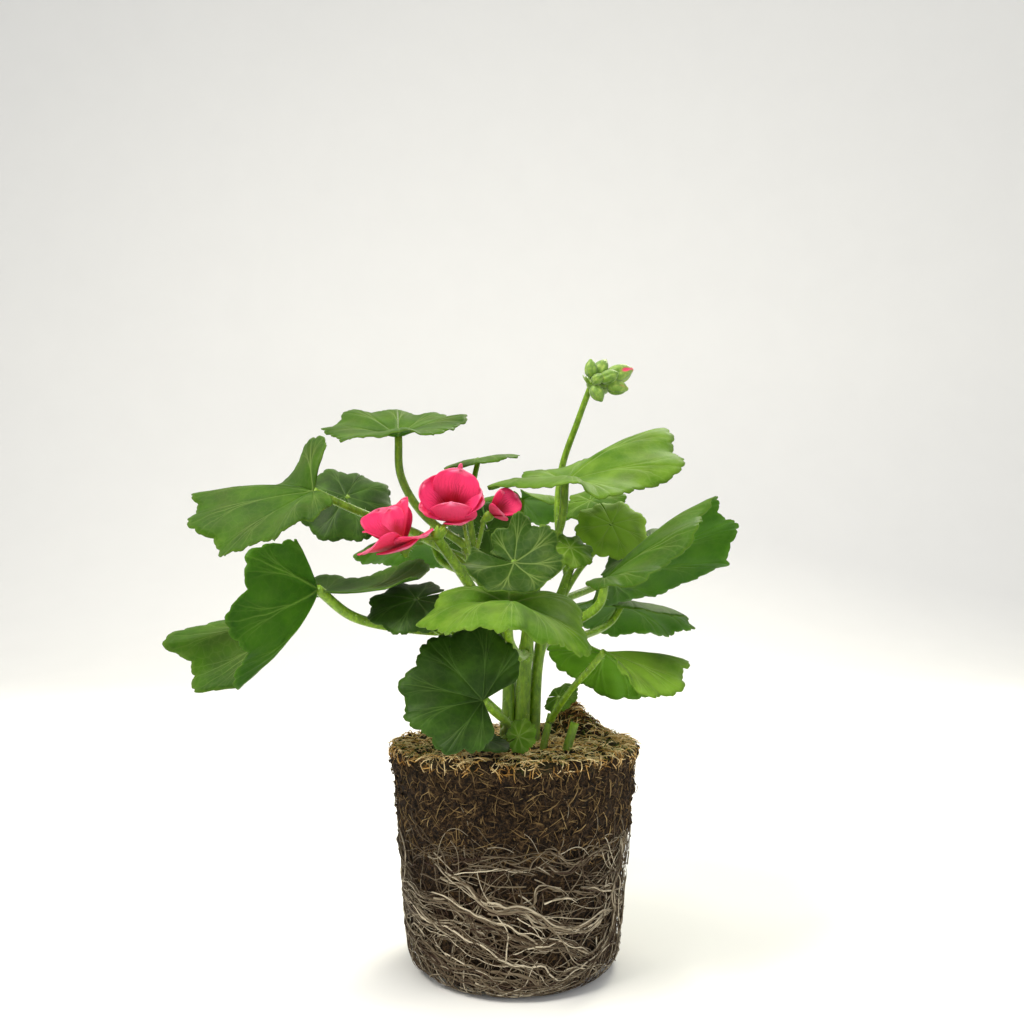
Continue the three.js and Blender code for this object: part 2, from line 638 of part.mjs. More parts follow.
// The bud head: closed buds that touch each other or stand on short pedicels.
function budClusterSolid() {
  const pieces = [solidOf(new THREE.SphereGeometry(BUD_CORE_RADIUS, 6, 4))];
  for (const { way, out } of BUDS) {
    const unit = vec(way).normalize();
    const bud = new THREE.SphereGeometry(1, 6, 4).rotateX(Math.PI / 2);
    bud.scale(BUD_RADIUS, BUD_RADIUS, BUD_LENGTH / 2);
    bud.applyQuaternion(new THREE.Quaternion().setFromUnitVectors(new THREE.Vector3(0, 0, 1), unit));
    const middle = unit.multiplyScalar(out).toArray();
    bud.translate(...middle);
    pieces.push(solidOf(bud));
    if (out > SHORT_PEDICEL)
      pieces.push(tube([[0, 0, 0], middle], PEDICEL_RADIUS, PEDICEL_RADIUS, { steps: 1, sides: 4 }));
  }
  return fuse(pieces);
}

const plant = new THREE.Group();

function addPiece(name, geometry, look, place = new THREE.Matrix4()) {
  const mesh = new THREE.Mesh(geometry, look);
  mesh.name = name;
  mesh.applyMatrix4(place);
  plant.add(mesh);
}

// A petiole, cut clear of the blade that it carries and ending just under it.
const PETIOLE_SWELLING = 1.15;
const PETIOLE_CLEARANCE = 6;
function petioleSolid(points, startRadius, endRadius, leaf) {
  const ribs = ribsOf(leaf);
  const up = new THREE.Vector3();
  ribs.slice(1).forEach((rib, i) => up.add(ribs[i].clone().cross(rib)));
  const turn = new THREE.Quaternion().setFromUnitVectors(new THREE.Vector3(0, 0, 1), up.normalize());
  const block = new THREE.BoxGeometry(2 * PETIOLE_CLEARANCE, 2 * PETIOLE_CLEARANCE, PETIOLE_CLEARANCE)
    .translate(0, 0, PETIOLE_CLEARANCE / 2 - BLADE_THICKNESS / 2 - SEAT_GAP)
    .applyQuaternion(turn)
    .translate(...leaf.at);
  const clear = solidOf(bladeGeometry(leaf, BLADE_THICKNESS + 2 * SEAT_GAP)).add(solidOf(block));
  const whole = tube([...points, leaf.at], startRadius, endRadius, { steps: 3, sides: 5 });
  return largest(whole.subtract(clear));
}

// A stem that stands in the peat, grown by a gap for the hole that it stands in.
function footed({ points, radii }, gap) {
  return tube(points, radii[0] + gap, radii[1] + gap, { steps: 7 });
}

// The green cup under a floret.
function calyx(foot, open) {
  const way = vec(open).normalize();
  const top = vec(foot).addScaledVector(way, -SEAT_GAP);
  const low = top.clone().addScaledVector(way, -CALYX_LENGTH);
  return tube([low.toArray(), top.toArray()], ...CALYX_RADII, { steps: 1 });
}

function stemsSolid() {
  const stalk = ({ points, radii }, steps) => tube(points, ...radii, { steps });
  const pieces = Object.values(MAIN_STEMS).map((stem) => footed(stem, 0));
  for (const leaf of LEAVES)
    pieces.push(petioleSolid(leaf.petiole, leaf.thick * PETIOLE_SWELLING, leaf.thick, leaf));
  pieces.push(stalk(HEAD_STALK, 5), stalk(BACK_STALK, 4), stalk(BUD_STALK, 5));
  for (const { foot, open, from, bow } of FLORETS) {
    const low = vec(foot).addScaledVector(vec(open).normalize(), 1 - CALYX_LENGTH).toArray();
    const pedicel = tube([from, bow, low], PEDICEL_RADIUS, PEDICEL_RADIUS, { steps: 4, sides: 4 });
    pieces.push(pedicel, calyx(foot, open));
  }
  return fuse(pieces);
}

function sideShootSolid() {
  const petioles = SHOOT_LEAVES.map((leaf) => petioleSolid(leaf.petiole, leaf.thick, leaf.thick, leaf));
  return fuse([footed(SIDE_SHOOT, 0), ...petioles]);
}

for (const leaf of [...LEAVES, ...SHOOT_LEAVES])
  addPiece(leaf.name, bladeGeometry(leaf), leaf.look);
addPiece("stems", geometryOf(stemsSolid()), STEM);
addPiece("side_shoot", geometryOf(sideShootSolid()), STEM);
addPiece("cut_stub", geometryOf(footed(CUT_STUB, 0)), STEM);

const holes = [...Object.values(MAIN_STEMS), SIDE_SHOOT, CUT_STUB].map((stem) => footed(stem, SEAT_GAP));
addPiece("peat_ball", geometryOf(ballSolid(fuse(holes))), PEAT);
addPiece("root_net", rootNetGeometry(), ROOT);

FLORETS.forEach(({ name, foot, open, size }, i) => {
  const turn = new THREE.Quaternion().setFromUnitVectors(new THREE.Vector3(0, 0, 1), vec(open).normalize());
  const place = new THREE.Matrix4().makeRotationFromQuaternion(turn).setPosition(...foot);
  addPiece(name, geometryOf(floretSolid(size, 18 + FLORET_TURN * i)), PETAL, place);
});
addPiece("bud_cluster", geometryOf(budClusterSolid()), BUD, new THREE.Matrix4().setPosition(...BUD_CENTRE));

export default plant;
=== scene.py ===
import math
import random
from functools import partial

import bpy
import numpy as np
from mathutils import Matrix, Vector, noise


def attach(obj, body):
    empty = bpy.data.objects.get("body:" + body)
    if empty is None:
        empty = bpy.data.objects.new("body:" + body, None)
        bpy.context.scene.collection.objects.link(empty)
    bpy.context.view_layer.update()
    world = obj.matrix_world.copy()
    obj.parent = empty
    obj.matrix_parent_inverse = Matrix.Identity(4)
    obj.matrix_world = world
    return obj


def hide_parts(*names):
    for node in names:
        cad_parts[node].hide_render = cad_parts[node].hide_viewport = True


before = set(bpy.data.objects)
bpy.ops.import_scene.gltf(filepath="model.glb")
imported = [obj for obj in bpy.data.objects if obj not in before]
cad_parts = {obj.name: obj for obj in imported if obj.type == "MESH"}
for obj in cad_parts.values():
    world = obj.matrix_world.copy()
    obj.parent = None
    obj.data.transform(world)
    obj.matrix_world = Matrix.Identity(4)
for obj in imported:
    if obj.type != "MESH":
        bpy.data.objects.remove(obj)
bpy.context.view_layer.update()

MM = 0.001
BODY = "root"

# The root ball: the form of a 12 cm pot, in millimetres.
BALL_HEIGHT = 97
BALL_TOP_RADIUS = 55
BALL_FOOT_RADIUS = 46
FOOT_ROUNDING = 9
SEAT_RADIUS = 37
TOP_HEIGHT = 98
ROOT_LINE = 62
LUMP_HEIGHT = 14
LUMP_TURN = 0.75
LUMP_TURN_WIDTH = 0.3
LUMP_SHARE = 0.7
LUMP_SHARE_WIDTH = 0.17

# A leaf has seven main ribs, evenly spaced from one lobe beside the petiole to the other.
RIB_SPACING = math.radians(46)
OUTER_RIB = 3
LOBE_DEPTH = 0.09
SMALL_LEAF = 33
BLADE_THICKNESS = 0.7
# A blade nearly closes round its petiole, and its two basal lobes are rounded off from here on.
LEAF_SPAN = math.radians(178.6)
CLOSING_FROM = math.radians(144)
CLOSING_DEPTH = 0.24
# The edge is worked out at that many angles, and its corners are rounded over this run, in mm.
EDGE_STEPS = 720
CORNER_ROUNDING = 7
# The shares of its length at which a rib forks and its arms fork again, and how far the arms have
# parted at the edge, as shares of the space between two ribs.
FORK_START = 0.36
FORK_SPREAD = 0.27
TWIG_START = 0.6
TWIG_SPREAD = 0.12

# Vertices that lie closer than this are one, in mm.
SAME_SPOT = 0.01


# Helpers


def unselect():
    bpy.ops.object.select_all(action="DESELECT")


def pick(piece):
    unselect()
    piece.select_set(True)
    bpy.context.view_layer.objects.active = piece


def join(pieces):
    unselect()
    for piece in pieces:
        piece.select_set(True)
    bpy.context.view_layer.objects.active = pieces[0]
    bpy.ops.object.join()
    return bpy.context.object


def places(piece):
    """The piece's vertices as an array of points in millimetres."""
    points = np.empty(len(piece.data.vertices) * 3)
    piece.data.vertices.foreach_get("co", points)
    return points.reshape(-1, 3) / MM


def place(piece, points):
    piece.data.vertices.foreach_set("co", (points * MM).ravel())
    piece.data.update()


def smooth(piece):
    piece.data.polygons.foreach_set("use_smooth", [True] * len(piece.data.polygons))


def grid(columns, rows):
    """A square sheet of faces, and the places of its vertices from -1 to 1."""
    unselect()
    bpy.ops.mesh.primitive_grid_add(x_subdivisions=columns, y_subdivisions=rows, size=2)
    sheet = bpy.context.object
    return sheet, places(sheet) * MM


def weld(piece, face_out=False):
    """Joins the vertices that lie on one spot, where a grid meets itself or runs to a point."""
    pick(piece)
    bpy.ops.object.mode_set(mode="EDIT")
    bpy.ops.mesh.select_all(action="SELECT")
    bpy.ops.mesh.remove_doubles(threshold=SAME_SPOT * MM)
    if face_out:
        bpy.ops.mesh.normals_make_consistent(inside=False)
    bpy.ops.object.mode_set(mode="OBJECT")


def thicken(sheet, thickness, materials=(), group=""):
    """Gives a sheet a back, thickness millimetres behind its face. The first material goes on the
    face and the second on the back, and a vertex group says where the sheet is thinner."""
    for material in materials:
        sheet.data.materials.append(material)
    wall = sheet.modifiers.new("wall", "SOLIDIFY")
    wall.thickness = thickness * MM
    wall.offset = -1
    wall.vertex_group = group
    wall.material_offset = 1
    bpy.ops.object.modifier_apply(modifier=wall.name)
    smooth(sheet)


def copy_to(model, matrix):
    twin = model.copy()
    twin.data = model.data.copy()
    bpy.context.scene.collection.objects.link(twin)
    twin.data.transform(matrix)
    return twin


def standing(at, x, y, z):
    """The matrix that moves a model to a point in millimetres and turns its axes to x, y and z."""
    return Matrix.Translation(Vector(at * MM)) @ Matrix((x, y, z)).transposed().to_4x4()


def keep_value(piece, name, values):
    """Keeps one number a vertex in the mesh, for a material to read."""
    layer = piece.data.attributes.new(name, "FLOAT", "POINT")
    layer.data.foreach_set("value", np.asarray(values, dtype=np.float32))


def vector(point):
    return np.array(point, float)


def unit(vectors):
    return vectors / np.linalg.norm(vectors, axis=-1, keepdims=True)


def bumps(points, width, seed=0):
    """Smooth noise from about -1 to 1 at each point, with bumps of that width."""
    shift = Vector((7.3 * seed, 3.1 * seed, 5.7 * seed))
    return np.array([noise.noise(Vector(p) / width + shift) for p in points])


def wave(seed, run, length, track):
    """Smooth noise from about -1 to 1 along a run, with waves of that length."""
    return np.array([noise.noise(Vector((seed, s / length, track))) for s in run])


def ride(piece, name, slot, *nodes):
    """Names a piece, hangs it on the plant's one body and says which nodes of the CAD it replaces."""
    piece.name = name
    piece.data.name = name
    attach(piece, BODY)
    if nodes:
        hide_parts(*nodes)
    return piece


def smooth_line(points, spacing):
    """A smooth curve through points, as points at even spacing."""
    p = np.array(points, float)
    p = np.vstack([2 * p[0] - p[1], p, 2 * p[-1] - p[-2]])
    line = []
    for a, b, c, d in zip(p, p[1:], p[2:], p[3:]):
        first, middle, last = [math.sqrt(np.linalg.norm(y - x)) for x, y in ((a, b), (b, c), (c, d))]
        start = ((b - a) / first - (c - a) / (first + middle) + (c - b) / middle) * middle
        end = ((c - b) / middle - (d - b) / (middle + last) + (d - c) / last) * middle
        for t in np.linspace(0, 1, 24, endpoint=False):
            line.append(
                b + start * t + (3 * (c - b) - 2 * start - end) * t**2 + (2 * (b - c) + start + end) * t**3
            )
    line.append(p[-2])
    line = np.array(line)
    run = np.concatenate([[0], np.cumsum(np.linalg.norm(np.diff(line, axis=0), axis=1))])
    count = max(2, round(run[-1] / spacing) + 1)
    even = np.linspace(0, run[-1], count)
    return np.column_stack([np.interp(even, run, line[:, k]) for k in range(line.shape[1])])


def strands(lines, roundness, material):
    """One mesh of round closed strands. Each line is its points and its radii, in millimetres, and a
    tint from 0 to 1."""
    curve = bpy.data.curves.new("strands", "CURVE")
    curve.dimensions = "3D"
    curve.bevel_depth = MM
    curve.bevel_resolution = roundness
    for points, radii, _ in lines:
        spline = curve.splines.new("POLY")
        spline.points.add(len(points) - 1)
        spline.points.foreach_set("co", np.column_stack([points * MM, np.ones(len(points))]).ravel())
        spline.points.foreach_set("radius", np.broadcast_to(radii, len(points)).astype(np.float32))
    piece = bpy.data.objects.new("strands", curve)
    bpy.context.scene.collection.objects.link(piece)
    pick(piece)
    bpy.ops.object.convert(target="MESH")
    piece = bpy.context.object
    total = sum(len(points) for points, _, _ in lines)
    sides = len(piece.data.vertices) // total
    keep_value(piece, "tint", np.concatenate([np.full(len(p) * sides, tint) for p, _, tint in lines]))
    bpy.ops.object.mode_set(mode="EDIT")
    bpy.ops.mesh.select_all(action="SELECT")
    bpy.ops.mesh.fill_holes(sides=0)
    bpy.ops.object.mode_set(mode="OBJECT")
    smooth(piece)
    piece.data.materials.append(material)
    return piece


# Materials


def linear(colour):
    """An sRGB hex colour as linear red, green, blue and an alpha of 1."""
    channels = [int(colour[i : i + 2], 16) / 255 for i in (1, 3, 5)]
    return [c / 12.92 if c <= 0.04045 else ((c + 0.055) / 1.055) ** 2.4 for c in channels] + [1.0]


def node(material, kind, inputs=(), stops=(), **settings):
    """Adds a node with its settings, its inputs and its colour stops. An input is a number, an sRGB hex
    colour, or the node or socket that is linked to it."""
    tree = material.node_tree
    added = tree.nodes.new("ShaderNode" + kind)
    for name, value in settings.items():
        setattr(added, name, value)
    for name, value in inputs.items() if isinstance(inputs, dict) else enumerate(inputs):
        if isinstance(value, bpy.types.Node):
            value = next(socket for socket in value.outputs if socket.enabled)
        if isinstance(value, bpy.types.NodeSocket):
            tree.links.new(value, added.inputs[name])
        else:
            added.inputs[name].default_value = linear(value) if isinstance(value, str) else value
    if stops:
        ramp = added.color_ramp
        while len(ramp.elements) < len(stops):
            ramp.elements.new(1)
        for element, (position, colour) in zip(ramp.elements, stops):
            element.position = position
            element.color = linear(colour)
    return added


def made(name, surface, *values):
    """A new material. The function that builds its surface gets the function that adds a node, and
    then the values."""
    material = bpy.data.materials.new(name)
    material.use_nodes = True
    material.node_tree.nodes.clear()
    add = partial(node, material)
    add("OutputMaterial", [surface(add, *values)])
    return material


def per_metre(width):
    """The scale of a noise or cell pattern whose grains are that many millimetres wide."""
    return 1 / (width * MM)


def leaf_skin(add, dark, middle, light, vein, zone, through, glow, roughness, bump, specks=0.0):
    """Living leaf: mottled around a lightness given for each leaf, partly its own colour and partly
    painted light and shade for how brightly that leaf is lit, with seven ribs, each forked twice, a
    fine net of veins, a faint darker zone, and some light coming through."""
    spot = add("TexCoord").outputs["Object"]
    share = add("SeparateXYZ", [add("TexCoord").outputs["UV"]]).outputs[1]
    reach = add("Attribute", attribute_name="reach").outputs["Fac"]
    ribs = add("Attribute", attribute_name="rib").outputs["Fac"]
    # The leaf's lightness value is partly painted light and shade: darker for a leaf in shade, lighter for
    # a brightly lit one.
    tone_and_shade = add("Attribute", attribute_name="tone_and_shade").outputs["Fac"]

    wander = add("TexNoise", {"Vector": spot, "Scale": per_metre(7)})
    wander = add("Math", [wander, 0.12, -0.06], operation="MULTIPLY_ADD")
    ribs = add("Math", [wander, share, ribs], operation="MULTIPLY_ADD")
    off = add("Math", [add("Math", [ribs], operation="FRACT"), 0.5], operation="SUBTRACT")
    off = add("Math", [off], operation="ABSOLUTE")
    width = add("Math", [reach, RIB_SPACING], operation="MULTIPLY")
    fork = add("MapRange", [share, FORK_START, 1.0, 0.0, FORK_SPREAD])
    from_fork = add("Math", [add("Math", [off, fork], operation="SUBTRACT")], operation="ABSOLUTE")
    twig = add("MapRange", [share, TWIG_START, 1.0, 0.0, TWIG_SPREAD])
    from_twig = add("Math", [add("Math", [from_fork, twig], operation="SUBTRACT")], operation="ABSOLUTE")
    lines = None
    for away, half, strength, start, end, fade in (
        (off, 0.5, 1.0, -0.1, 0.0, 0.35),
        (from_fork, 0.42, 0.8, 0.33, 0.4, 0.3),
        (from_twig, 0.34, 0.55, 0.56, 0.64, 0.3),
    ):
        away = add("Math", [away, width], operation="MULTIPLY")
        line = add("MapRange", [away, 0.08, half, strength, 0.0])
        begun = add("MapRange", [share, start, end, 0.0, 1.0])
        line = add("Math", [line, begun], operation="MULTIPLY")
        line = add("Math", [line, add("MapRange", [share, 0.6, 1.0, 1.0, fade])], operation="MULTIPLY")
        lines = add("Math", [line, lines], operation="MAXIMUM") if lines else line
    net = add("TexVoronoi", {"Vector": spot, "Scale": per_metre(3.2)}, feature="DISTANCE_TO_EDGE")
    net_line = add("MapRange", [net, 0.0, 0.12, 0.15, 0.0])
    veined = add("Math", [lines, net_line], operation="MAXIMUM")

    mottle = add("TexNoise", {"Vector": spot, "Scale": per_metre(16), "Detail": 5.0, "Roughness": 0.62})
    # That lightness shifts the mottle and scales the colour's value, painting each leaf's light and shade
    # into its colour.
    shade = add("Math", [mottle, tone_and_shade], operation="ADD")
    colour = add("ValToRGB", [shade], stops=[(0.26, dark), (0.5, middle), (0.76, light)])
    depth = add("Math", [tone_and_shade, 1.1, 1.0], operation="MULTIPLY_ADD")
    colour = add("HueSaturation", {"Saturation": 1.04, "Value": depth, "Color": colour})
    inner = add("MapRange", [share, 0.48, 0.66, 0.0, 1.0])
    outer = add("MapRange", [share, 0.72, 0.92, 1.0, 0.0])
    patchy = add("TexNoise", {"Vector": spot, "Scale": per_metre(9), "Detail": 3.0})
    patchy = add("MapRange", [patchy, 0.36, 0.62, 0.05, 0.5])
    band = add("Math", [add("Math", [inner, outer], operation="MULTIPLY"), patchy], operation="MULTIPLY")
    pale = add("Math", [veined, 0.42], operation="MULTIPLY")
    edge = add("MapRange", [share, 0.965, 1.0, 0.0, 0.45])
    for amount, tint in ((band, zone), (pale, vein), (edge, light)):
        colour = add("Mix", {0: amount, 6: colour, 7: tint}, data_type="RGBA")
    if specks:
        dots = add("TexNoise", {"Vector": spot, "Scale": per_metre(1.1), "Detail": 3.0})
        dots = add("MapRange", [dots, 0.66, 0.7, 0.0, specks])
        patches = add("TexNoise", {"Vector": spot, "Scale": per_metre(22)})
        patches = add("MapRange", [patches, 0.48, 0.6, 0.0, 1.0])
        dots = add("Math", [dots, patches], operation="MULTIPLY")
        colour = add("Mix", {0: dots, 6: colour, 7: "#171f12"}, data_type="RGBA")

    down = add("TexNoise", {"Vector": spot, "Scale": per_metre(0.5), "Detail": 1.0})
    down = add("Math", [down, 0.35], operation="MULTIPLY")
    height = add("Math", [veined, bump, down], operation="MULTIPLY_ADD")
    relief = add("Bump", {"Height": height, "Strength": 0.35, "Distance": 0.4 * MM})
    face = add(
        "BsdfPrincipled",
        {
            "Base Color": colour,
            "Roughness": roughness,
            "IOR": 1.45,
            "Specular IOR Level": 0.22,
            "Sheen Weight": 0.09,
            "Sheen Roughness": 0.45,
            "Sheen Tint": "#d6e2b4",
            "Normal": relief,
        },
    )
    shown = add("Math", [veined, 0.35], operation="MULTIPLY")
    lit = add("Mix", {0: shown, 6: through, 7: vein}, data_type="RGBA")
    back_light = add("BsdfTranslucent", {"Color": lit, "Normal": relief})
    return add("MixShader", [glow, face, back_light])


# Full-grown leaf, upper face: a felt of fine hairs makes the green matt and slightly grey.
leaf_upper = made(
    "grown leaf, downy upper face", leaf_skin,
    "#2f5008", "#436810", "#66862b", "#93ab58", "#46591a", "#70a408", 0.22, 0.62, -0.5,
)
# Full-grown leaf, underside: the veins stand out, and light from behind makes it glow.
leaf_under = made(
    "grown leaf, veined underside", leaf_skin,
    "#2a520a", "#42700f", "#64922b", "#88ae44", "#3f6412", "#74b40a", 0.4, 0.6, 0.8,
)
# Young leaf: fresher and a little yellower.
young_upper = made(
    "young leaf, downy upper face", leaf_skin,
    "#33560c", "#4e7418", "#7a9a36", "#9cb45c", "#48601a", "#80b00c", 0.24, 0.62, -0.5,
)
young_under = made(
    "young leaf, veined underside", leaf_skin,
    "#3a620e", "#557e18", "#7aa030", "#9cbc54", "#4c7016", "#88b812", 0.34, 0.6, 0.8,
)
# Old leaf of the shaded lower crown: deep green, partly its own colour and partly painted shade, with dark
# specks where insects fed. Its underside is darkened with painted shade as well.
shade_upper = made(
    "old leaf in shade, painted dark upper face", leaf_skin,
    "#192e06", "#28440c", "#466820", "#608038", "#26380e", "#3f7f08", 0.16, 0.56, -0.5, 0.85,
)
shade_under = made(
    "old leaf in shade, painted dark underside", leaf_skin,
    "#22400c", "#325416", "#4b7028", "#6b8e46", "#2e4a14", "#4f8512", 0.22, 0.62, 0.8,
)


def stem_skin(add):
    spot = add("TexCoord").outputs["Object"]
    drawn_out = add("Mapping", {"Vector": spot, "Scale": (1, 1, 0.4)})
    streaks = add(
        "TexNoise", {"Vector": drawn_out, "Scale": per_metre(1.6), "Detail": 5.0, "Roughness": 0.6}
    )
    colour = add("ValToRGB", [streaks], stops=[(0.28, "#4a6c02"), (0.5, "#688c04"), (0.74, "#8aae1e")])
    height = add("SeparateXYZ", [spot]).outputs[2]
    low = add("MapRange", [height, 0.097, 0.11, 0.5, 0.0])
    patches = add("TexNoise", {"Vector": spot, "Scale": per_metre(5)})
    low = add("Math", [low, add("MapRange", [patches, 0.3, 0.7, 0.4, 1.0])], operation="MULTIPLY")
    colour = add("Mix", {0: low, 6: colour, 7: "#5a5226"}, data_type="RGBA")
    dots = add("TexNoise", {"Vector": spot, "Scale": per_metre(1.6)})
    dots = add("MapRange", [dots, 0.7, 0.73, 0.0, 0.8])
    colour = add("Mix", {0: dots, 6: colour, 7: "#2c3212"}, data_type="RGBA")
    down = add("TexNoise", {"Vector": spot, "Scale": per_metre(0.5)})
    rough = add("Math", [streaks, down], operation="ADD")
    relief = add("Bump", {"Height": rough, "Strength": 0.4, "Distance": 0.3 * MM})
    return add(
        "BsdfPrincipled",
        {
            "Base Color": colour,
            "Roughness": 0.5,
            "Sheen Weight": 0.05,
            "Sheen Roughness": 0.4,
            "Subsurface Weight": 0.1,
            "Subsurface Scale": 2 * MM,
            "Normal": relief,
        },
    )


# Soft stem: green rind with pale lengthwise streaks, browner and woodier towards the peat.
stem_rind = made("soft stem, downy rind", stem_skin)


def hair_skin(add):
    spot = add("TexCoord").outputs["Object"]
    uneven = add("TexNoise", {"Vector": spot, "Scale": per_metre(2)})
    colour = add("Mix", {0: uneven, 6: "#a9bf7a", 7: "#e2e8c8"}, data_type="RGBA")
    return add("BsdfPrincipled", {"Base Color": colour, "Roughness": 0.35})


# Stem hair: a clear bristle that only catches the light.
stem_hair = made("stem hair, clear bristle", hair_skin)


def petal_skin(add, claw, middle, rim, fleck, glow):
    """Petal: saturated and silky, with a dark flare above its claw, fine veins and a paler rim."""
    spot = add("TexCoord").outputs["Object"]
    uv = add("SeparateXYZ", [add("TexCoord").outputs["UV"]]).outputs
    across, share = uv[0], uv[1]
    wander = add("TexNoise", {"Vector": spot, "Scale": per_metre(4), "Detail": 3.0})
    fan = add("Math", [wander, 0.3, across], operation="MULTIPLY_ADD")
    fan = add("Math", [add("Math", [fan, 15.0], operation="MULTIPLY")], operation="FRACT")
    line = add("Math", [add("Math", [fan, 0.5], operation="SUBTRACT")], operation="ABSOLUTE")
    veins = add("MapRange", [line, 0.0, 0.24, 0.34, 0.0])
    veins = add("Math", [veins, add("MapRange", [share, 0.3, 0.95, 1.0, 0.2])], operation="MULTIPLY")
    cloud = add("TexNoise", {"Vector": spot, "Scale": per_metre(6)})
    length = add("Math", [cloud, 0.3, share], operation="MULTIPLY_ADD")
    colour = add("ValToRGB", [length], stops=[(0.28, claw), (0.52, middle), (0.86, middle), (1.0, rim)])
    middle_line = add("Math", [add("Math", [across, 0.5], operation="SUBTRACT")], operation="ABSOLUTE")
    near = add("MapRange", [middle_line, 0.04, 0.3, 1.0, 0.0])
    streaked = add("Math", [line, 0.3, share], operation="MULTIPLY_ADD")
    low = add("MapRange", [streaked, 0.3, 0.54, 0.95, 0.0])
    flare = add("Math", [near, low], operation="MULTIPLY")
    for amount, tint in ((veins, fleck), (flare, claw)):
        colour = add("Mix", {0: amount, 6: colour, 7: tint}, data_type="RGBA")
    silk = add("TexNoise", {"Vector": spot, "Scale": per_metre(1.2)})
    height = add("Math", [veins, -0.6, silk], operation="MULTIPLY_ADD")
    relief = add("Bump", {"Height": height, "Strength": 0.3, "Distance": 0.3 * MM})
    face = add(
        "BsdfPrincipled",
        {
            "Base Color": colour,
            "Roughness": 0.48,
            "Specular IOR Level": 0.3,
            "Sheen Weight": 0.2,
            "Sheen Roughness": 0.4,
            "Sheen Tint": "#ffb7cb",
            "Normal": relief,
        },
    )
    lit = add("Mix", {0: 0.3, 6: colour, 7: rim}, data_type="RGBA")
    back_light = add("BsdfTranslucent", {"Color": lit})
    return add("MixShader", [glow, face, back_light])


# Petal, inner face: glowing rose red with a crimson throat.
petal_inner = made(
    "petal, silky inner face", petal_skin, "#a8041c", "#f03c78", "#fd88ae", "#c81c4e", 0.38
)
# Petal, outer face: paler and cooler, with the veins showing through.
petal_outer = made(
    "petal, matt outer face", petal_skin, "#ec4a72", "#f85084", "#fc8eb2", "#da4076", 0.4
)


def bud_skin(add):
    spot = add("TexCoord").outputs["Object"]
    tip = add("Attribute", attribute_name="tint").outputs["Fac"]
    mottle = add("TexNoise", {"Vector": spot, "Scale": per_metre(2.2), "Detail": 4.0})
    colour = add("ValToRGB", [mottle], stops=[(0.3, "#4d7014"), (0.5, "#6b8f22"), (0.72, "#94ad44")])
    uneven = add("TexNoise", {"Vector": spot, "Scale": per_metre(1.5)})
    parted = add("Math", [uneven, 0.3, tip], operation="MULTIPLY_ADD")
    browned = add("MapRange", [parted, 0.4, 0.65, 0.0, 0.7])
    colour = add("Mix", {0: browned, 6: colour, 7: "#a8763a"}, data_type="RGBA")
    flushed = add("MapRange", [parted, 0.65, 0.85, 0.0, 1.0])
    colour = add("Mix", {0: flushed, 6: colour, 7: "#d8305a"}, data_type="RGBA")
    felt = add("TexNoise", {"Vector": spot, "Scale": per_metre(0.6)})
    relief = add("Bump", {"Height": felt, "Strength": 0.5, "Distance": 0.3 * MM})
    return add(
        "BsdfPrincipled",
        {"Base Color": colour, "Roughness": 0.55, "Sheen Weight": 0.35, "Normal": relief},
    )


# Bud scale: green and hairy, flushed with the petal's colour where it opens.
bud_scale = made("bud scale, hairy", bud_skin)


def anther_skin(add):
    spot = add("TexCoord").outputs["Object"]
    dusty = add("TexNoise", {"Vector": spot, "Scale": per_metre(0.8)})
    colour = add("Mix", {0: dusty, 6: "#b8461e", 7: "#e0863a"}, data_type="RGBA")
    return add("BsdfPrincipled", {"Base Color": colour, "Roughness": 0.8})


# Anther: dry orange pollen on a pale filament.
anther = made("anther, dry pollen", anther_skin)


def peat_skin(add):
    spot = add("TexCoord").outputs["Object"]
    crumbs = add("TexNoise", {"Vector": spot, "Scale": per_metre(1.7), "Detail": 9.0, "Roughness": 0.75})
    # The colour follows the same noise as the relief, so the pits are darkened with painted shade.
    colour = add(
        "ValToRGB",
        [crumbs],
        stops=[(0.4, "#080503"), (0.48, "#20160c"), (0.57, "#463420"), (0.69, "#7c6442")],
    )
    drawn_out = add("Mapping", {"Vector": spot, "Scale": (1, 1, 3)})
    threads = add(
        "TexNoise", {"Vector": drawn_out, "Scale": per_metre(1.2), "Detail": 4.0, "Roughness": 0.6}
    )
    shown = add("MapRange", [threads, 0.6, 0.72, 0.0, 0.6])
    colour = add("Mix", {0: shown, 6: colour, 7: "#6f5430"}, data_type="RGBA")
    height = add("SeparateXYZ", [spot]).outputs[2]
    patches = add("TexNoise", {"Vector": spot, "Scale": per_metre(14), "Detail": 3.0})
    green = add("MapRange", [patches, 0.5, 0.64, 0.0, 0.35])
    on_top = add("MapRange", [height, 0.092, 0.097, 0.0, 1.0])
    green = add("Math", [green, on_top], operation="MULTIPLY")
    colour = add("Mix", {0: green, 6: colour, 7: "#3f4c1e"}, data_type="RGBA")
    rough = add("Math", [crumbs, threads], operation="ADD")
    relief = add("Bump", {"Height": rough, "Strength": 1.0, "Distance": 1.2 * MM})
    return add(
        "BsdfPrincipled",
        {"Base Color": colour, "Roughness": 0.95, "Specular IOR Level": 0.2, "Normal": relief},
    )


# Peat: moist and crumbly, fox brown on its crumbs and nearly black in its pits, partly its own dark colour
# and partly painted shade in the hollows.
peat_crumb = made("peat, moist and crumbly", peat_skin)


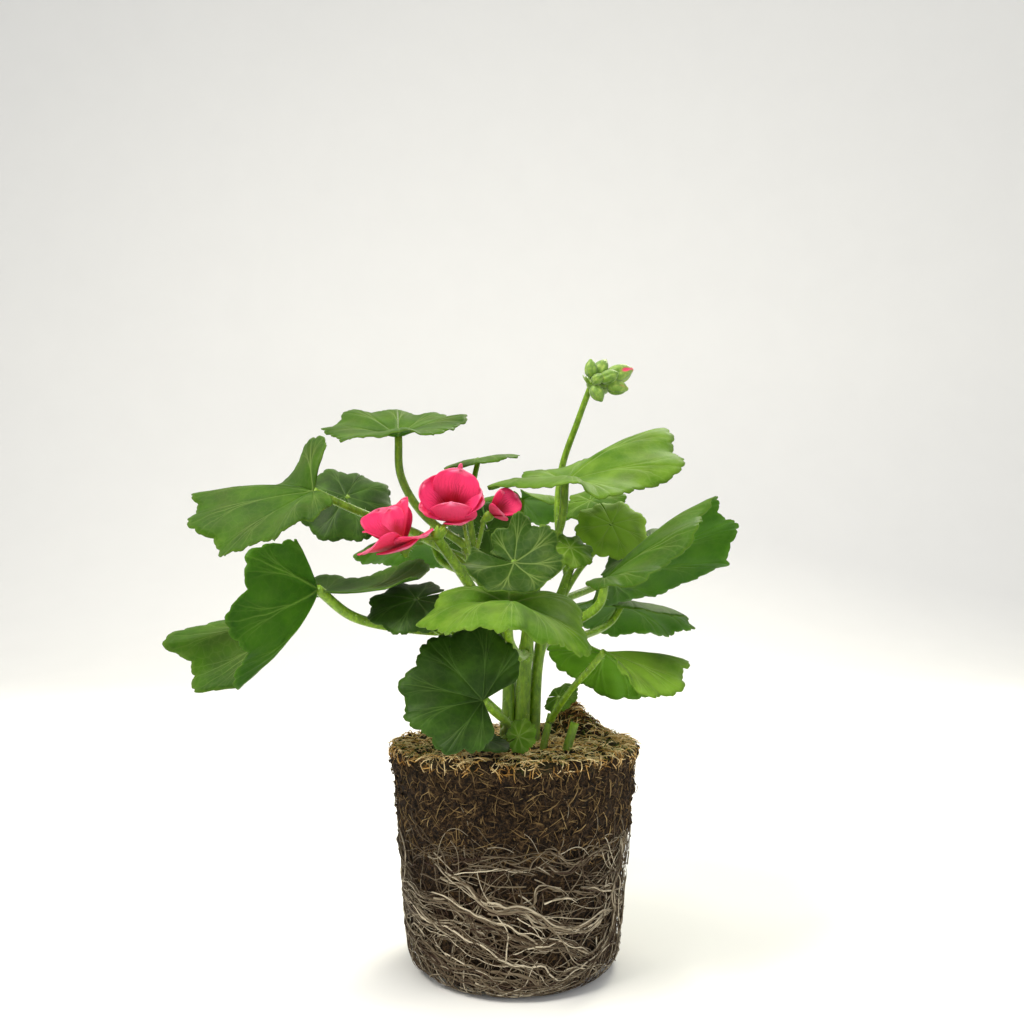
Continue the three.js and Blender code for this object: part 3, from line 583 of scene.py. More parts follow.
def strand_skin(add, stops, width, roughness):
    """Thin strands, each in its own shade of the range, with darker spots along them."""
    spot = add("TexCoord").outputs["Object"]
    tint = add("Attribute", attribute_name="tint").outputs["Fac"]
    spots = add("TexNoise", {"Vector": spot, "Scale": per_metre(width), "Detail": 4.0, "Roughness": 0.6})
    spots = add("Math", [spots, 0.5, -0.25], operation="MULTIPLY_ADD")
    shade = add("Math", [tint, spots], operation="ADD", use_clamp=True)
    colour = add("ValToRGB", [shade], stops=stops)
    skin = add("TexNoise", {"Vector": spot, "Scale": per_metre(0.7), "Detail": 3.0})
    relief = add("Bump", {"Height": skin, "Strength": 0.5, "Distance": 0.3 * MM})
    return add(
        "BsdfPrincipled",
        {"Base Color": colour, "Roughness": roughness, "Specular IOR Level": 0.3, "Normal": relief},
    )


# Peat fibre: dry shreds of sedge and bark, from dark brown to straw.
peat_fibre = made(
    "peat fibre, dry shreds", strand_skin,
    [(0.05, "#1a1209"), (0.3, "#46341f"), (0.6, "#7a623c"), (0.95, "#ba9f6c")], 3.0, 0.85,
)
# Straw: bleached sedge and old moss on the top, khaki in the shade and nearly cream on the rim.
straw = made(
    "straw, bleached by light", strand_skin,
    [(0.05, "#563618"), (0.3, "#a07434"), (0.6, "#d2a65e"), (0.95, "#f8e0a8")], 3.0, 0.85,
)
# Moss: the thin green felt that grows on old peat.
moss_thread = made(
    "moss, damp threads", strand_skin,
    [(0.1, "#303d12"), (0.5, "#566a22"), (0.9, "#989e4c")], 2.0, 0.8,
)
# Root: washed skin, from brown where it is old to nearly white at its growing end.
washed_root = made(
    "root, washed skin", strand_skin,
    [(0.02, "#331d0d"), (0.28, "#4a3b28"), (0.6, "#796c56"), (0.95, "#d2c6ac")], 4.0, 0.6,
)


# Leaves


def turned_on(before, last):
    """One more rib, turned on from the last as that one is from the rib before it, and shorter."""
    axis = unit(np.cross(before, last))
    step = min(RIB_SPACING, math.acos(unit(before) @ unit(last)))
    return 0.88 * (last * math.cos(step) + np.cross(axis, last) * math.sin(step))


def way_to_edge(ribs, angle):
    """The way from the petiole to the leaf's edge at each angle: a smooth curve through the ribs."""
    held = np.vstack([2 * ribs[0] - ribs[1], ribs, 2 * ribs[-1] - ribs[-2]])
    spot = angle / RIB_SPACING + OUTER_RIB + 1
    i = np.clip(np.floor(spot).astype(int), 0, len(ribs) - 2)
    t = (spot - i)[:, None]
    a, b, c, d = held[i], held[i + 1], held[i + 2], held[i + 3]
    return (
        a * (-t + 2 * t**2 - t**3)
        + b * (2 - 5 * t**2 + 3 * t**3)
        + c * (t + 4 * t**2 - 3 * t**3)
        + d * (-(t**2) + t**3)
    ) / 2


def leaf_edge(ribs, span):
    """A leaf's edge as the angle, the run along the edge and the way to it, at each step. Each way is
    averaged over some millimetres of edge to either side, so that no rib tip is a corner."""
    angles = np.linspace(-span, span, EDGE_STEPS)
    way = way_to_edge(ribs, angles)
    more = EDGE_STEPS // 6
    before = 2 * way[0] - way[more:0:-1]
    after = 2 * way[-1] - way[::-1][1 : more + 1]
    way = np.vstack([before, way, after])
    run = np.concatenate([[0], np.cumsum(np.linalg.norm(np.diff(way, axis=0), axis=1))])
    near = np.exp(-(((run[:, None] - run[None, :]) / CORNER_ROUNDING) ** 2)) * np.gradient(run)
    rounded = near @ way / near.sum(axis=1)[:, None]
    return angles, run[more:-more] - run[more], rounded[more:-more]


def ribs_of(leaf):
    """The seven rib tips from the petiole, given, or from the midrib, upper face, size and droop."""
    if "ribs" in leaf:
        return vector(leaf["ribs"]) - vector(leaf["at"])
    forward = unit(vector(leaf["tip"]))
    face = vector(leaf["face"])
    upward = unit(face - forward * (face @ forward))
    sideways = np.cross(upward, forward)
    droop = math.radians(leaf["droop"])
    angles = RIB_SPACING * np.arange(-OUTER_RIB, OUTER_RIB + 1)[:, None]
    length = leaf["size"] * (0.92 + 0.08 * np.cos(angles))
    outward = math.cos(droop) * (np.cos(angles) * forward + np.sin(angles) * sideways)
    return length * (outward - math.sin(droop) * upward)


# The leaves, in millimetres. Each blade sits at the end of its petiole, whose points and end radius
# are given. Its form is the tips of its seven ribs, or else the way of its midrib, the way that its
# upper face looks, its size and its droop in degrees. The basal lobes of a closed leaf meet, lobes is
# how far the edge falls back between the ribs, arch and ruffle are shares of the blade's length, and
# the tone setting makes a blade lighter or darker than its kind: partly its own colour, and partly
# painted light and shade for how brightly or dimly that leaf is lit.
LEAVES = [
    dict(
        name="leaf_left_trough", at=(-73, -75, 167), arch=-0.1, age="grown",
        ribs=[(-37, -42, 178), (-85, -28, 172), (-132, -66, 149), (-119, -72, 128),
              (-100, -84, 134), (-99, -100, 155), (-93, -98, 179)],
        petiole=[(-6, 2, 148), (-38, -34, 150), (-62, -58, 156)], thick=1.9, tone_and_shade=-0.12,
    ),
    dict(
        name="leaf_left_upper", at=(-82, -40, 207), arch=0.06, age="grown",
        ribs=[(-84, -28, 231), (-111, -2, 211), (-135, -26, 207), (-131, -46, 192),
              (-110, -66, 179), (-84, -80, 188), (-73, -72, 195)],
        petiole=[(-13, 2, 170), (-40, -8, 190), (-64, -28, 199)], thick=1.7, tone_and_shade=-0.1,
    ),
    dict(
        name="leaf_left_speckled", at=(-80, 22, 211), tip=(-0.3, -0.6, -0.75),
        face=(0.1, -0.8, 0.55), size=27, droop=8, age="old", closed=True,
        petiole=[(-17, 2, 179), (-42, 16, 190), (-68, 26, 203)], thick=1.3, tone_and_shade=0.05,
    ),
    dict(
        name="leaf_top_left", at=(-50, -18, 233), arch=0.05, age="grown",
        closed=True,
        ribs=[(-75, 6, 249), (-84, -16, 236), (-66, -48, 227), (-45, -56, 229),
              (-27, -46, 230), (-20, -18, 242), (-34, 8, 248)],
        petiole=[(-21, 2, 186), (-40, -10, 200), (-49, -17, 216)], thick=1.7, tone_and_shade=-0.06,
    ),
    dict(
        name="leaf_top_back", at=(-17, 24, 229), tip=(0.6, -0.7, 0),
        face=(0, -0.35, 0.93), size=21, droop=5, age="grown",
        petiole=[(-17, 3, 182), (-20, 0, 200), (-19, 16, 217)], thick=1.3,
    ),
    dict(
        name="leaf_top_right", at=(22, -20, 213), arch=0.08, age="grown",
        ribs=[(-11, -34, 209), (23, -58, 208), (39, -50, 203), (72, -26, 217),
              (70, 2, 239), (41, 22, 228), (7, 4, 220)],
        petiole=[(11, 3, 178), (17, -10, 186), (21, -18, 198)], thick=1.7, tone_and_shade=0.15,
    ),
    dict(
        name="leaf_young_front", at=(0, -68, 177), arch=-0.05, ruffle=0.07,
        size=22, age="young", lobes=0.15,
        ribs=[(-20, -83, 175), (-5, -87, 165), (12, -84, 168), (19, -76, 177),
              (16, -66, 189), (2, -60, 198), (-8, -62, 189)],
        petiole=[(7, 0, 158), (4, -30, 164), (1, -50, 171)], thick=1.3, tone_and_shade=-0.3,
    ),
    dict(
        name="leaf_front_umbrella", at=(-2, -70, 161), arch=0.13, age="young",
        closed=True,
        ribs=[(-25, -62, 167), (-37, -76, 153), (-20, -104, 152), (-1, -110, 153),
              (12, -101, 148), (28, -82, 142), (25, -56, 162)],
        petiole=[(5, -1, 138), (2, -33, 139), (-2, -58, 148)], thick=1.8, tone_and_shade=0.06,
    ),
    dict(
        name="leaf_front_low", at=(-12, -62, 124), arch=0.08, age="old",
        ribs=[(1, -60, 143), (-10, -56, 156), (-34, -62, 147), (-44, -70, 131),
              (-40, -78, 118), (-25, -82, 106), (-13, -76, 107)],
        petiole=[(-4, 0, 103), (-3, -25, 110), (-8, -48, 118)], thick=1.6,
    ),
    dict(
        name="leaf_right_fold", at=(37, -42, 171), arch=0.06, age="grown",
        ribs=[(34, -72, 168), (49, -78, 170), (71, -66, 189), (82, -42, 205),
              (97, -22, 193), (92, -8, 175), (52, -10, 162)],
        petiole=[(9, 0, 152), (24, -32, 153), (35, -40, 161)], thick=1.9, tone_and_shade=-0.06,
    ),
    dict(
        name="leaf_right_back", at=(45, 10, 197), tip=(0.3, -0.5, -0.8),
        face=(0.1, -0.85, 0.5), size=20, droop=6, age="young", closed=True,
        petiole=[(18, 8, 155), (30, 16, 175), (42, 15, 190)], thick=1.3, tone_and_shade=0.5,
    ),
    dict(
        name="leaf_right_shade", at=(66, 44, 186), tip=(0.9, -0.4, 0.1),
        face=(-0.1, -0.5, 0.85), size=32, droop=5, age="old",
        petiole=[(20, 11, 161), (44, 34, 170), (60, 42, 178)], thick=1.6, tone_and_shade=0.1,
    ),
    dict(
        name="leaf_behind_top", at=(38, 44, 211), tip=(0.9, -0.3, 0.1),
        face=(0, -0.6, 0.8), size=19, droop=4, age="grown",
        petiole=[(28, 22, 182), (34, 38, 193), (38, 46, 203)], thick=1.2, tone_and_shade=0.1,
    ),
    dict(
        name="leaf_young_right", at=(23, -38, 184), tip=(0.8, -0.2, -0.45),
        face=(0.3, -0.7, 0.6), size=12, droop=8, ruffle=0.07, age="young",
        petiole=[(10, 2, 172), (15, -18, 172), (21, -32, 178)], thick=1.1, tone_and_shade=-0.05,
    ),
    dict(
        name="leaf_left_shade", at=(-38, -58, 163), tip=(-0.9, -0.4, -0.25),
        face=(-0.1, -0.6, 0.8), size=21, droop=10, age="old",
        petiole=[(-4, 2, 140), (-22, -28, 145), (-35, -50, 154)], thick=1.2,
    ),
    dict(
        name="leaf_centre_shade", at=(-13, 34, 196), tip=(0.2, -0.4, -0.9),
        face=(0, -0.9, 0.4), size=25, droop=6, age="old",
        petiole=[(-5, 27, 166), (-9, 38, 178), (-12, 38, 190)], thick=1.3, tone_and_shade=0.1,
    ),
    dict(
        name="leaf_base_small", at=(2, -45, 107.5), tip=(0.75, -0.3, 0.5),
        face=(0.1, -0.8, 0.6), size=9.5, droop=5, age="young",
        petiole=[(2, 0, 101), (3, -20, 102), (2, -39, 104)], thick=0.9,
    ),
    dict(
        name="leaf_base_flat", at=(-10, -36, 104), tip=(-0.7, -0.6, 0),
        face=(-0.1, -0.4, 0.9), size=13, droop=0, age="old",
        petiole=[(-3, 0, 101), (-6, -18, 101.5), (-9, -31, 102)], thick=0.9,
    ),
    dict(
        name="leaf_back_left", at=(-42, 62, 192), tip=(-0.6, 0.75, -0.1),
        face=(-0.15, 0.3, 0.95), size=44, droop=12, arch=0.1, age="grown",
        petiole=[(-5, 26, 165), (-22, 46, 174), (-38, 58, 182)], thick=1.8,
    ),
    dict(
        name="leaf_back_mid", at=(4, 76, 215), tip=(0.1, 0.95, -0.05),
        face=(0, 0.2, 0.97), size=42, droop=12, arch=0.1, age="grown",
        petiole=[(-6, 29, 170), (-3, 54, 188), (3, 71, 203)], thick=1.8, tone_and_shade=0.08,
    ),
    dict(
        name="leaf_back_right", at=(56, 66, 158), tip=(0.6, 0.75, -0.2),
        face=(0.2, 0.35, 0.9), size=42, droop=12, arch=0.1, age="grown",
        petiole=[(12, 4, 142), (34, 38, 144), (50, 60, 150)], thick=1.8, tone_and_shade=-0.05,
    ),
    dict(
        name="leaf_back_low", at=(-28, 56, 130), tip=(-0.3, 0.9, -0.15),
        face=(-0.1, 0.35, 0.92), size=32, droop=12, arch=0.1, age="old",
        petiole=[(1, 8, 104), (-12, 30, 112), (-25, 50, 122)], thick=1.5,
    ),
]
SHOOT_LEAVES = [
    dict(
        name="leaf_side_shoot", at=(20, -6, 119), tip=(0.7, -0.6, 0.1),
        face=(-0.2, -0.7, 0.7), size=11, droop=5, age="young",
        petiole=[(15.2, -17, 109), (18, -11, 114)], thick=1.0,
    ),
    dict(
        name="leaf_right_low", at=(36, -48, 142), arch=0.06, age="grown",
        ribs=[(43, -70, 134), (51, -76, 125), (64, -68, 128), (70, -48, 138),
              (56, -12, 118), (35, -12, 122), (15, -24, 138)],
        petiole=[(15.5, -17.5, 110), (24, -31, 125), (32, -43, 136)], thick=1.4, tone_and_shade=0.18,
    ),
]
# The old leaves take the darker finish, which is partly their own colour and partly painted shade of the
# lower crown.
LEAF_FINISH = {
    "grown": (leaf_upper, leaf_under, "leaf"),
    "young": (young_upper, young_under, "young_leaf"),
    "old": (shade_upper, shade_under, "shade_leaf"),
}
# The edge is scalloped, and each scallop has a shallow nick in it. The ribs lie in grooves, and a
# blade of full length shows all of its relief. Widths, depths and lengths in millimetres.
SCALLOP_WIDTH = 7.2
SCALLOP_DEPTH = 1.3
NICK_DEPTH = 0.35
RIB_WIDTH = 1.0
FORK_WIDTH = 0.8
GROOVE_DEPTH = 0.55
FULL_LENGTH = 38
# A blade's grid: columns along its edge, and rings from the petiole outwards.
LARGE_GRID = (260, 16)
SMALL_GRID = (124, 12)


def edge_reach(leaf, share, angle, along, length, grain, seed):
    """How far out each point of a blade lies on its way to the edge: the edge falls back between the
    ribs, is rounded off beside the petiole, and is scalloped."""
    steps = angle / RIB_SPACING
    lobes = leaf.get("lobes", LOBE_DEPTH) * np.abs(np.sin(math.pi * steps)) ** 3
    past = np.clip((np.abs(angle) - CLOSING_FROM) / (LEAF_SPAN - CLOSING_FROM), 0, 1)
    closing = CLOSING_DEPTH * past**2.4
    if leaf.get("closed"):
        closing = 0.1 * closing
    scallops = along / (SCALLOP_WIDTH * grain) + 0.3 * np.sin(3.1 * steps + seed)
    scallop = SCALLOP_DEPTH * (np.abs(np.sin(math.pi * scallops)) ** 0.75 - 0.7)
    nick = NICK_DEPTH * (np.abs(np.sin(2 * math.pi * scallops)) - 0.6)
    toothed = (scallop + nick) * grain / length
    return share * (1 - closing * share**2 - lobes * share + toothed * share**8)


def vein_groove(share, steps, out):
    """How deep each point lies in a rib or in an arm of its fork, from 0 to 1."""
    off = np.abs((steps + 0.5) % 1 - 0.5)
    fork = FORK_SPREAD * np.clip((share - FORK_START) / (1 - FORK_START), 0, 1)
    rib_groove = np.exp(-((off * RIB_SPACING * out / RIB_WIDTH) ** 2)) * (1 - 0.6 * share)
    fork_groove = 0.5 * np.exp(-(((off - fork) * RIB_SPACING * out / FORK_WIDTH) ** 2))
    fork_groove *= np.clip((share - 0.3) * 8, 0, 1)
    return np.maximum(rib_groove, fork_groove) * np.clip(out / 3, 0, 1)


def leaf_blade(leaf, seed):
    """A leaf blade: a flat grid bent to the ribs, its veins sunk in, then thickened downwards."""
    small = leaf.get("size", 2 * SMALL_LEAF) < SMALL_LEAF
    blade, flat = grid(*(SMALL_GRID if small else LARGE_GRID))
    share = (flat[:, 1] + 1) / 2
    ribs = ribs_of(leaf)
    first, last = turned_on(ribs[1], ribs[0]), turned_on(ribs[-2], ribs[-1])
    span = LEAF_SPAN
    if leaf.get("closed"):
        first = last = 0.85 * np.linalg.norm(ribs[0]) * unit(unit(ribs[0]) + unit(ribs[-1]))
        span = (OUTER_RIB + 1) * RIB_SPACING
    angles, run, edge = leaf_edge(np.vstack([first, ribs, last]), span)
    along = (1 - flat[:, 0]) / 2 * run[-1]
    angle = np.interp(along, run, angles)
    beside, way, before = (
        np.column_stack([np.interp(angle + off, angles, edge[:, k]) for k in range(3)])
        for off in (0.05, 0, -0.05)
    )
    upward = unit(np.cross(way, beside - before))
    length = np.linalg.norm(way, axis=1)
    bulk = min(1.0, length.mean() / FULL_LENGTH)
    steps = angle / RIB_SPACING
    reach = edge_reach(leaf, share, angle, along, length, 0.4 + 0.6 * bulk, seed)
    out = length * reach
    groove = vein_groove(share, steps, out)
    point = vector(leaf["at"]) + way * reach[:, None]
    arch, ruffle = leaf.get("arch", 0.06), leaf.get("ruffle", 0.035)
    bow = 4 * arch * reach * (1 - reach) + ruffle * share**3 * np.sin(2 * math.pi * steps + 1)
    waves = 1.3 * bumps(point, 19, seed) * share**2
    quilt = 0.5 * bumps(point, 7, seed + 1) * share
    frill = 0.5 * share**6 * np.sin(13 * angle + seed) * np.sin(5.3 * angle + 2 * seed)
    curl = -0.7 * share**9
    relief = waves + quilt + frill + curl - GROOVE_DEPTH * groove
    rise = length * bow + bulk * relief + 0.3 * BLADE_THICKNESS
    place(blade, point + upward * rise[:, None])
    keep_value(blade, "reach", out)
    keep_value(blade, "rib", steps + OUTER_RIB + 0.5)
    # Each leaf's lightness, partly its own colour and partly painted light and shade, for its material to
    # read.
    keep_value(blade, "tone_and_shade", np.full(len(out), leaf.get("tone_and_shade", 0.0)))
    veins = blade.vertex_groups.new(name="veins")
    for i, weight in enumerate(0.5 + 0.5 * groove):
        veins.add([i], float(weight), "REPLACE")
    weld(blade)
    upper, under, slot = LEAF_FINISH[leaf["age"]]
    thicken(blade, 0.4 + 0.3 * bulk, (upper, under), "veins")
    return ride(blade, leaf["name"].replace("leaf", "blade"), slot, leaf["name"])


for number, leaf in enumerate(LEAVES + SHOOT_LEAVES):
    leaf_blade(leaf, number + 1)


# Stems, petioles and stalks

STEM_FOOT = 84
MAIN_STEMS = {
    "right": ([(3, 0, STEM_FOOT), (3.5, 0, 100), (5.5, -1, 140), (10, 2, 172), (14, 6, 196)], 3.8, 2.4),
    "outer": ([(8, 2, STEM_FOOT), (9, 2, 100), (12, 4, 140), (22, 12, 165), (30, 24, 186)], 3.0, 2.0),
    "left": ([(-2, 1, STEM_FOOT), (-2.5, 1, 100), (-3, 2, 135), (-10, 2, 165), (-22, 2, 186)], 3.5, 2.2),
    "back": ([(2, 5, STEM_FOOT), (1, 7, 100), (-3, 18, 140), (-6, 30, 172)], 3.2, 2.2),
}
SHOOT_FOOT = 86
SIDE_SHOOT = ([(12, -18, SHOOT_FOOT), (12.5, -18, 97), (16, -17, 113)], 1.9, 1.5)
CUT_STUB = ([(22, -24, SHOOT_FOOT), (22.5, -24, 98), (26, -23, 110)], 2.1, 1.9)
UMBEL = (-30, -56, 187)
BACK_UMBEL = (-17, -34, 178)
HEAD_STALK = ([(-4, 1, 148), (-13, -22, 160), (-23, -44, 176), UMBEL], 2.4, 2.0)
BACK_STALK = ([(-5, 1, 154), (-10, -12, 162), (-15, -27, 171), BACK_UMBEL], 1.8, 1.4)
BUD_CENTRE = (36, 10, 262)
BUD_STALK = ([(25, 17, 174), (21, 25, 200), (23, 27, 225), (30, 18, 246), (35.5, 10.4, 261)], 1.9, 1.4)
FLORETS = [
    dict(name="front", foot=(-24, -44, 196), open=(0, -0.78, 0.63), size=19,
         start=UMBEL, bow=(-28, -50, 192)),
    dict(name="left", foot=(-43.5, -58, 183.5), open=(-0.4, 0.05, 0.9), size=18,
         start=UMBEL, bow=(-38, -58, 186)),
    dict(name="right", foot=(-10, -40, 197), open=(0.75, -0.15, 0.6), size=12,
         start=BACK_UMBEL, bow=(-14, -38, 188)),
    dict(name="back", foot=(-22, -20, 199), open=(-0.1, 0.55, 0.83), size=13,
         start=BACK_UMBEL, bow=(-20, -27, 189)),
]


# A stem has a point at every step, and swells by a share of its radius where a petiole leaves it.
STEM_STEP = 1.6
SWELLING = 0.16
SWELLING_LENGTH = 3.2
EVEN_TINT = 0.5
# A floret's stalk, and the green cup at its end: places along the floret's axis and radii, in mm.
PEDICEL_RADIUS = 0.95
CUP = np.array([(-4.5, 0.8), (-3, 1.3), (-1.5, 1.9), (-0.2, 2.2), (1.2, 1.7)])


def stem_line(points, start, end, swellings=()):
    """A stem from its points and end radii, swollen where petioles leave it."""
    line = smooth_line(points, STEM_STEP)
    radii = np.linspace(start, end, len(line))
    for spot in swellings:
        away = np.linalg.norm(line - np.array(spot), axis=1)
        on_stem = away.min() < 3
        radii += SWELLING * start * np.exp(-((away / SWELLING_LENGTH) ** 2)) * on_stem
    radii *= 1 + 0.03 * bumps(line, 5)
    return line, radii, EVEN_TINT


def petiole_line(leaf, start, end):
    """A petiole to the blade it carries, with a thicker joint where it leaves the stem."""
    line = smooth_line([*leaf["petiole"], leaf["at"]], STEM_STEP)
    run = np.linspace(0, 1, len(line))
    radii = start + (end - start) * run + 0.35 * end * np.exp(-((run / 0.06) ** 2))
    return line, radii, EVEN_TINT


bases = [leaf["petiole"][0] for leaf in LEAVES]
stem_lines = [stem_line(points, start, end, bases) for points, start, end in MAIN_STEMS.values()]
stem_lines += [petiole_line(leaf, 1.15 * leaf["thick"], leaf["thick"]) for leaf in LEAVES]
stem_lines += [stem_line(*stalk) for stalk in (HEAD_STALK, BACK_STALK, BUD_STALK)]
for floret in FLORETS:
    way = unit(vector(floret["open"]))
    foot = vector(floret["foot"])
    pedicel = smooth_line([floret["start"], floret["bow"], foot - 3 * way], 1.2)
    stem_lines.append((pedicel, np.full(len(pedicel), PEDICEL_RADIUS), EVEN_TINT))
    stem_lines.append((foot + CUP[:, :1] * way, CUP[:, 1], EVEN_TINT))
stems = strands(stem_lines, 3, stem_rind)
ride(stems, "crown_stems", "stem", "stems")

shoot_lines = [stem_line(*SIDE_SHOOT)]
shoot_lines += [petiole_line(leaf, leaf["thick"], leaf["thick"]) for leaf in SHOOT_LEAVES]
shoot = strands(shoot_lines, 3, stem_rind)
ride(shoot, "side_shoot_stem", "stem", "side_shoot")

stub = strands([stem_line(*CUT_STUB)], 3, stem_rind)
ride(stub, "cut_stub_stem", "stem", "cut_stub")


# A hair's radius at its root and at its tip.
HAIR_RADII = np.array([0.05, 0.012])


def spikes(lines, spacing, length, seed):
    """Fine hairs that stand off the lines."""
    rng = random.Random(seed)
    hairs = []
    for line, radii, _ in lines:
        run = np.concatenate([[0], np.cumsum(np.linalg.norm(np.diff(line, axis=0), axis=1))])
        for _ in range(round(run[-1] / spacing)):
            where = rng.uniform(0, run[-1])
            at, ahead, behind = (
                np.array([np.interp(spot, run, line[:, k]) for k in range(3)])
                for spot in (where, min(where + 1, run[-1]), max(where - 1, 0))
            )
            along = unit(ahead - behind)
            side = np.array([rng.gauss(0, 1) for _ in range(3)])
            side = unit(side - along * (side @ along))
            root = at + side * np.interp(where, run, radii) * 0.9
            tip = root + (side + along * rng.uniform(-0.4, 0.4)) * length * rng.uniform(0.6, 1.2)
            hairs.append((np.array([root, tip]), HAIR_RADII, EVEN_TINT))
    return hairs


hairs = strands(spikes(stem_lines + shoot_lines, 1.0, 1.1, 5), 0, stem_hair)
ride(hairs, "stem_hairs", "stem")


def stipule():
    """One of the pair of small pointed scales where a petiole leaves its stem."""
    scale, flat = grid(6, 8)
    run = (flat[:, 1] + 1) / 2
    half = 1.9 * (1 - run**1.6) * (0.75 + 0.5 * run)
    x = half * flat[:, 0]
    z = 1.3 * run**2 + 0.12 * x**2
    place(scale, np.column_stack([x, 5.2 * run, z]))
    weld(scale)
    thicken(scale, 0.35)
    return scale


def bract_ring(model, at, axis, count, lean):
    """Small scales in a ring round a stalk's end, each leaning out from the axis."""
    ring = []
    axis = unit(vector(axis))
    across = unit(np.cross(axis, [0.3, 1.0, 0.1]))
    for i in range(count):
        turn = 2 * math.pi * i / count
        outward = across * math.cos(turn) + np.cross(axis, across) * math.sin(turn)
        y = unit(axis + lean * outward)
        x = np.cross(outward, axis)
        foot = vector(at) + 1.2 * outward - 0.8 * axis
        ring.append(copy_to(model, standing(foot, x, y, np.cross(x, y))))
    return ring


model = stipule()
pairs = bract_ring(model, UMBEL, (0.1, 0.3, 1), 7, 0.8)
pairs += bract_ring(model, BACK_UMBEL, (-0.1, 0, 1), 5, 0.8)
pairs += bract_ring(model, BUD_CENTRE, (0.2, -0.3, 1), 6, 1.6)
# The two small leaves at the crown's foot are too low to show theirs.
for leaf in LEAVES:
    if leaf["name"].startswith("leaf_base"):
        continue
    base = vector(leaf["petiole"][0])
    outward = unit(vector(leaf["petiole"][1]) - base)
    for side in (-1, 1):
        y = unit(outward + (0, 0, 0.9))
        x = unit(np.cross(y, (0, 0, 1)) * side)
        y = unit(y + 0.45 * x)
        z = unit(np.cross(x - y * (x @ y), y))
        pairs.append(copy_to(model, standing(base + 2.6 * outward, np.cross(y, z), y, z)))
bpy.data.objects.remove(model)
stipules = join(pairs)
stipules.data.materials.append(stem_rind)
ride(stipules, "stipules", "stem")


# Florets


# A petal's claw as a share of its full width, and the share of its length where it reaches that.
CLAW_WIDTH = 0.22
BROAD_FROM = 0.62
PETAL_THICKNESS = 0.45
# The stamens' length as a share of the floret's size.
STAMEN_SHARE = 0.16


def petal(size, width, rise, bend, cup, seed, notch=0.0):
    """A petal that stands on the origin along +X: narrow at its claw, broad and rounded at its tip.
    It rises at an angle, and bends inwards towards its tip where bend is positive."""
    sheet, flat = grid(18, 22)
    across = -flat[:, 0]
    run = np.sin((flat[:, 1] + 1) / 2 * math.pi / 2) ** 0.9
    widening = CLAW_WIDTH + (1 - CLAW_WIDTH) * np.sin(run / BROAD_FROM * math.pi / 2) ** 1.1
    swell = np.where(run < BROAD_FROM, widening, 1.0)
    tip = np.sqrt(np.clip(1 - np.clip((run - BROAD_FROM) / (1 - BROAD_FROM), 0, 1) ** 2.4, 0, 1))
    x = width * size / 2 * swell * tip * across
    rim = run * (1 - notch * np.exp(-((across / 0.25) ** 2)) * run**10)
    start = math.radians(rise)
    swing = math.radians(bend) * rim
    angle = start + swing
    swing = np.where(np.abs(swing) < 1e-4, 1e-4, swing)
    reach = size * rim
    along = reach * (np.sin(angle) - math.sin(start)) / swing
    up = reach * (math.cos(start) - np.cos(angle)) / swing
    point = np.column_stack([along, x, up])
    ripple = 0.55 * bumps(point, 5, seed) * run**2 + 0.5 * np.sin(6 * across + seed) * run**5 * size / 18
    lift = cup * x**2 / size * (0.4 + 0.8 * run) + ripple
    place(sheet, np.column_stack([along - np.sin(angle) * lift, x, up + np.cos(angle) * lift]))
    weld(sheet)
    thicken(sheet, PETAL_THICKNESS, (petal_inner, petal_outer))
    return sheet


# The petals of each floret: the turn round its axis, how steeply the petal rises and how far it bends
# inwards, in degrees, its length and width as shares of the floret's size, and its claw's height in mm.
PETALS = {
    "front": [
        (76, 70, -28, 1.0, 1.0, 1.2), (156, 48, -14, 0.95, 0.95, 1.4), (14, 54, -16, 0.84, 0.8, 1.3),
        (190, 36, -18, 0.8, 0.6, 1.0), (352, 44, -8, 0.84, 0.62, 1.1), (268, 10, 126, 0.86, 1.0, 0.0),
        (292, 26, 10, 0.56, 0.66, 0.0), (77, 65, -26, 1.12, 0.12, 0.7),
    ],
    "left": [
        (40, 66, -12, 1.05, 0.85, 1.6), (72, 78, -10, 0.86, 0.6, 1.6), (112, 70, -16, 1.1, 1.15, 1.3),
        (150, 52, -18, 0.95, 0.8, 1.0), (222, 14, -18, 0.95, 1.25, 0.9), (272, -10, -14, 0.6, 1.1, 1.0),
        (318, 0, -14, 0.74, 1.05, 1.1),
    ],
    "right": [
        (80, 78, -20, 1.15, 1.0, 1.0), (26, 62, -16, 0.95, 1.0, 1.2), (140, 70, -16, 0.85, 0.8, 1.1),
        (300, 50, -20, 0.55, 0.9, 1.0),
    ],
    "back": [
        (15, 60, -36, 1.0, 1.1, 1.0), (87, 62, -34, 1.0, 1.1, 1.2), (159, 60, -36, 1.0, 1.1, 1.1),
        (231, 62, -34, 1.0, 1.1, 1.2), (303, 60, -36, 1.0, 1.1, 1.1), (60, 78, -14, 0.7, 0.8, 2.0),
        (240, 78, -14, 0.7, 0.8, 2.0),
    ],
}


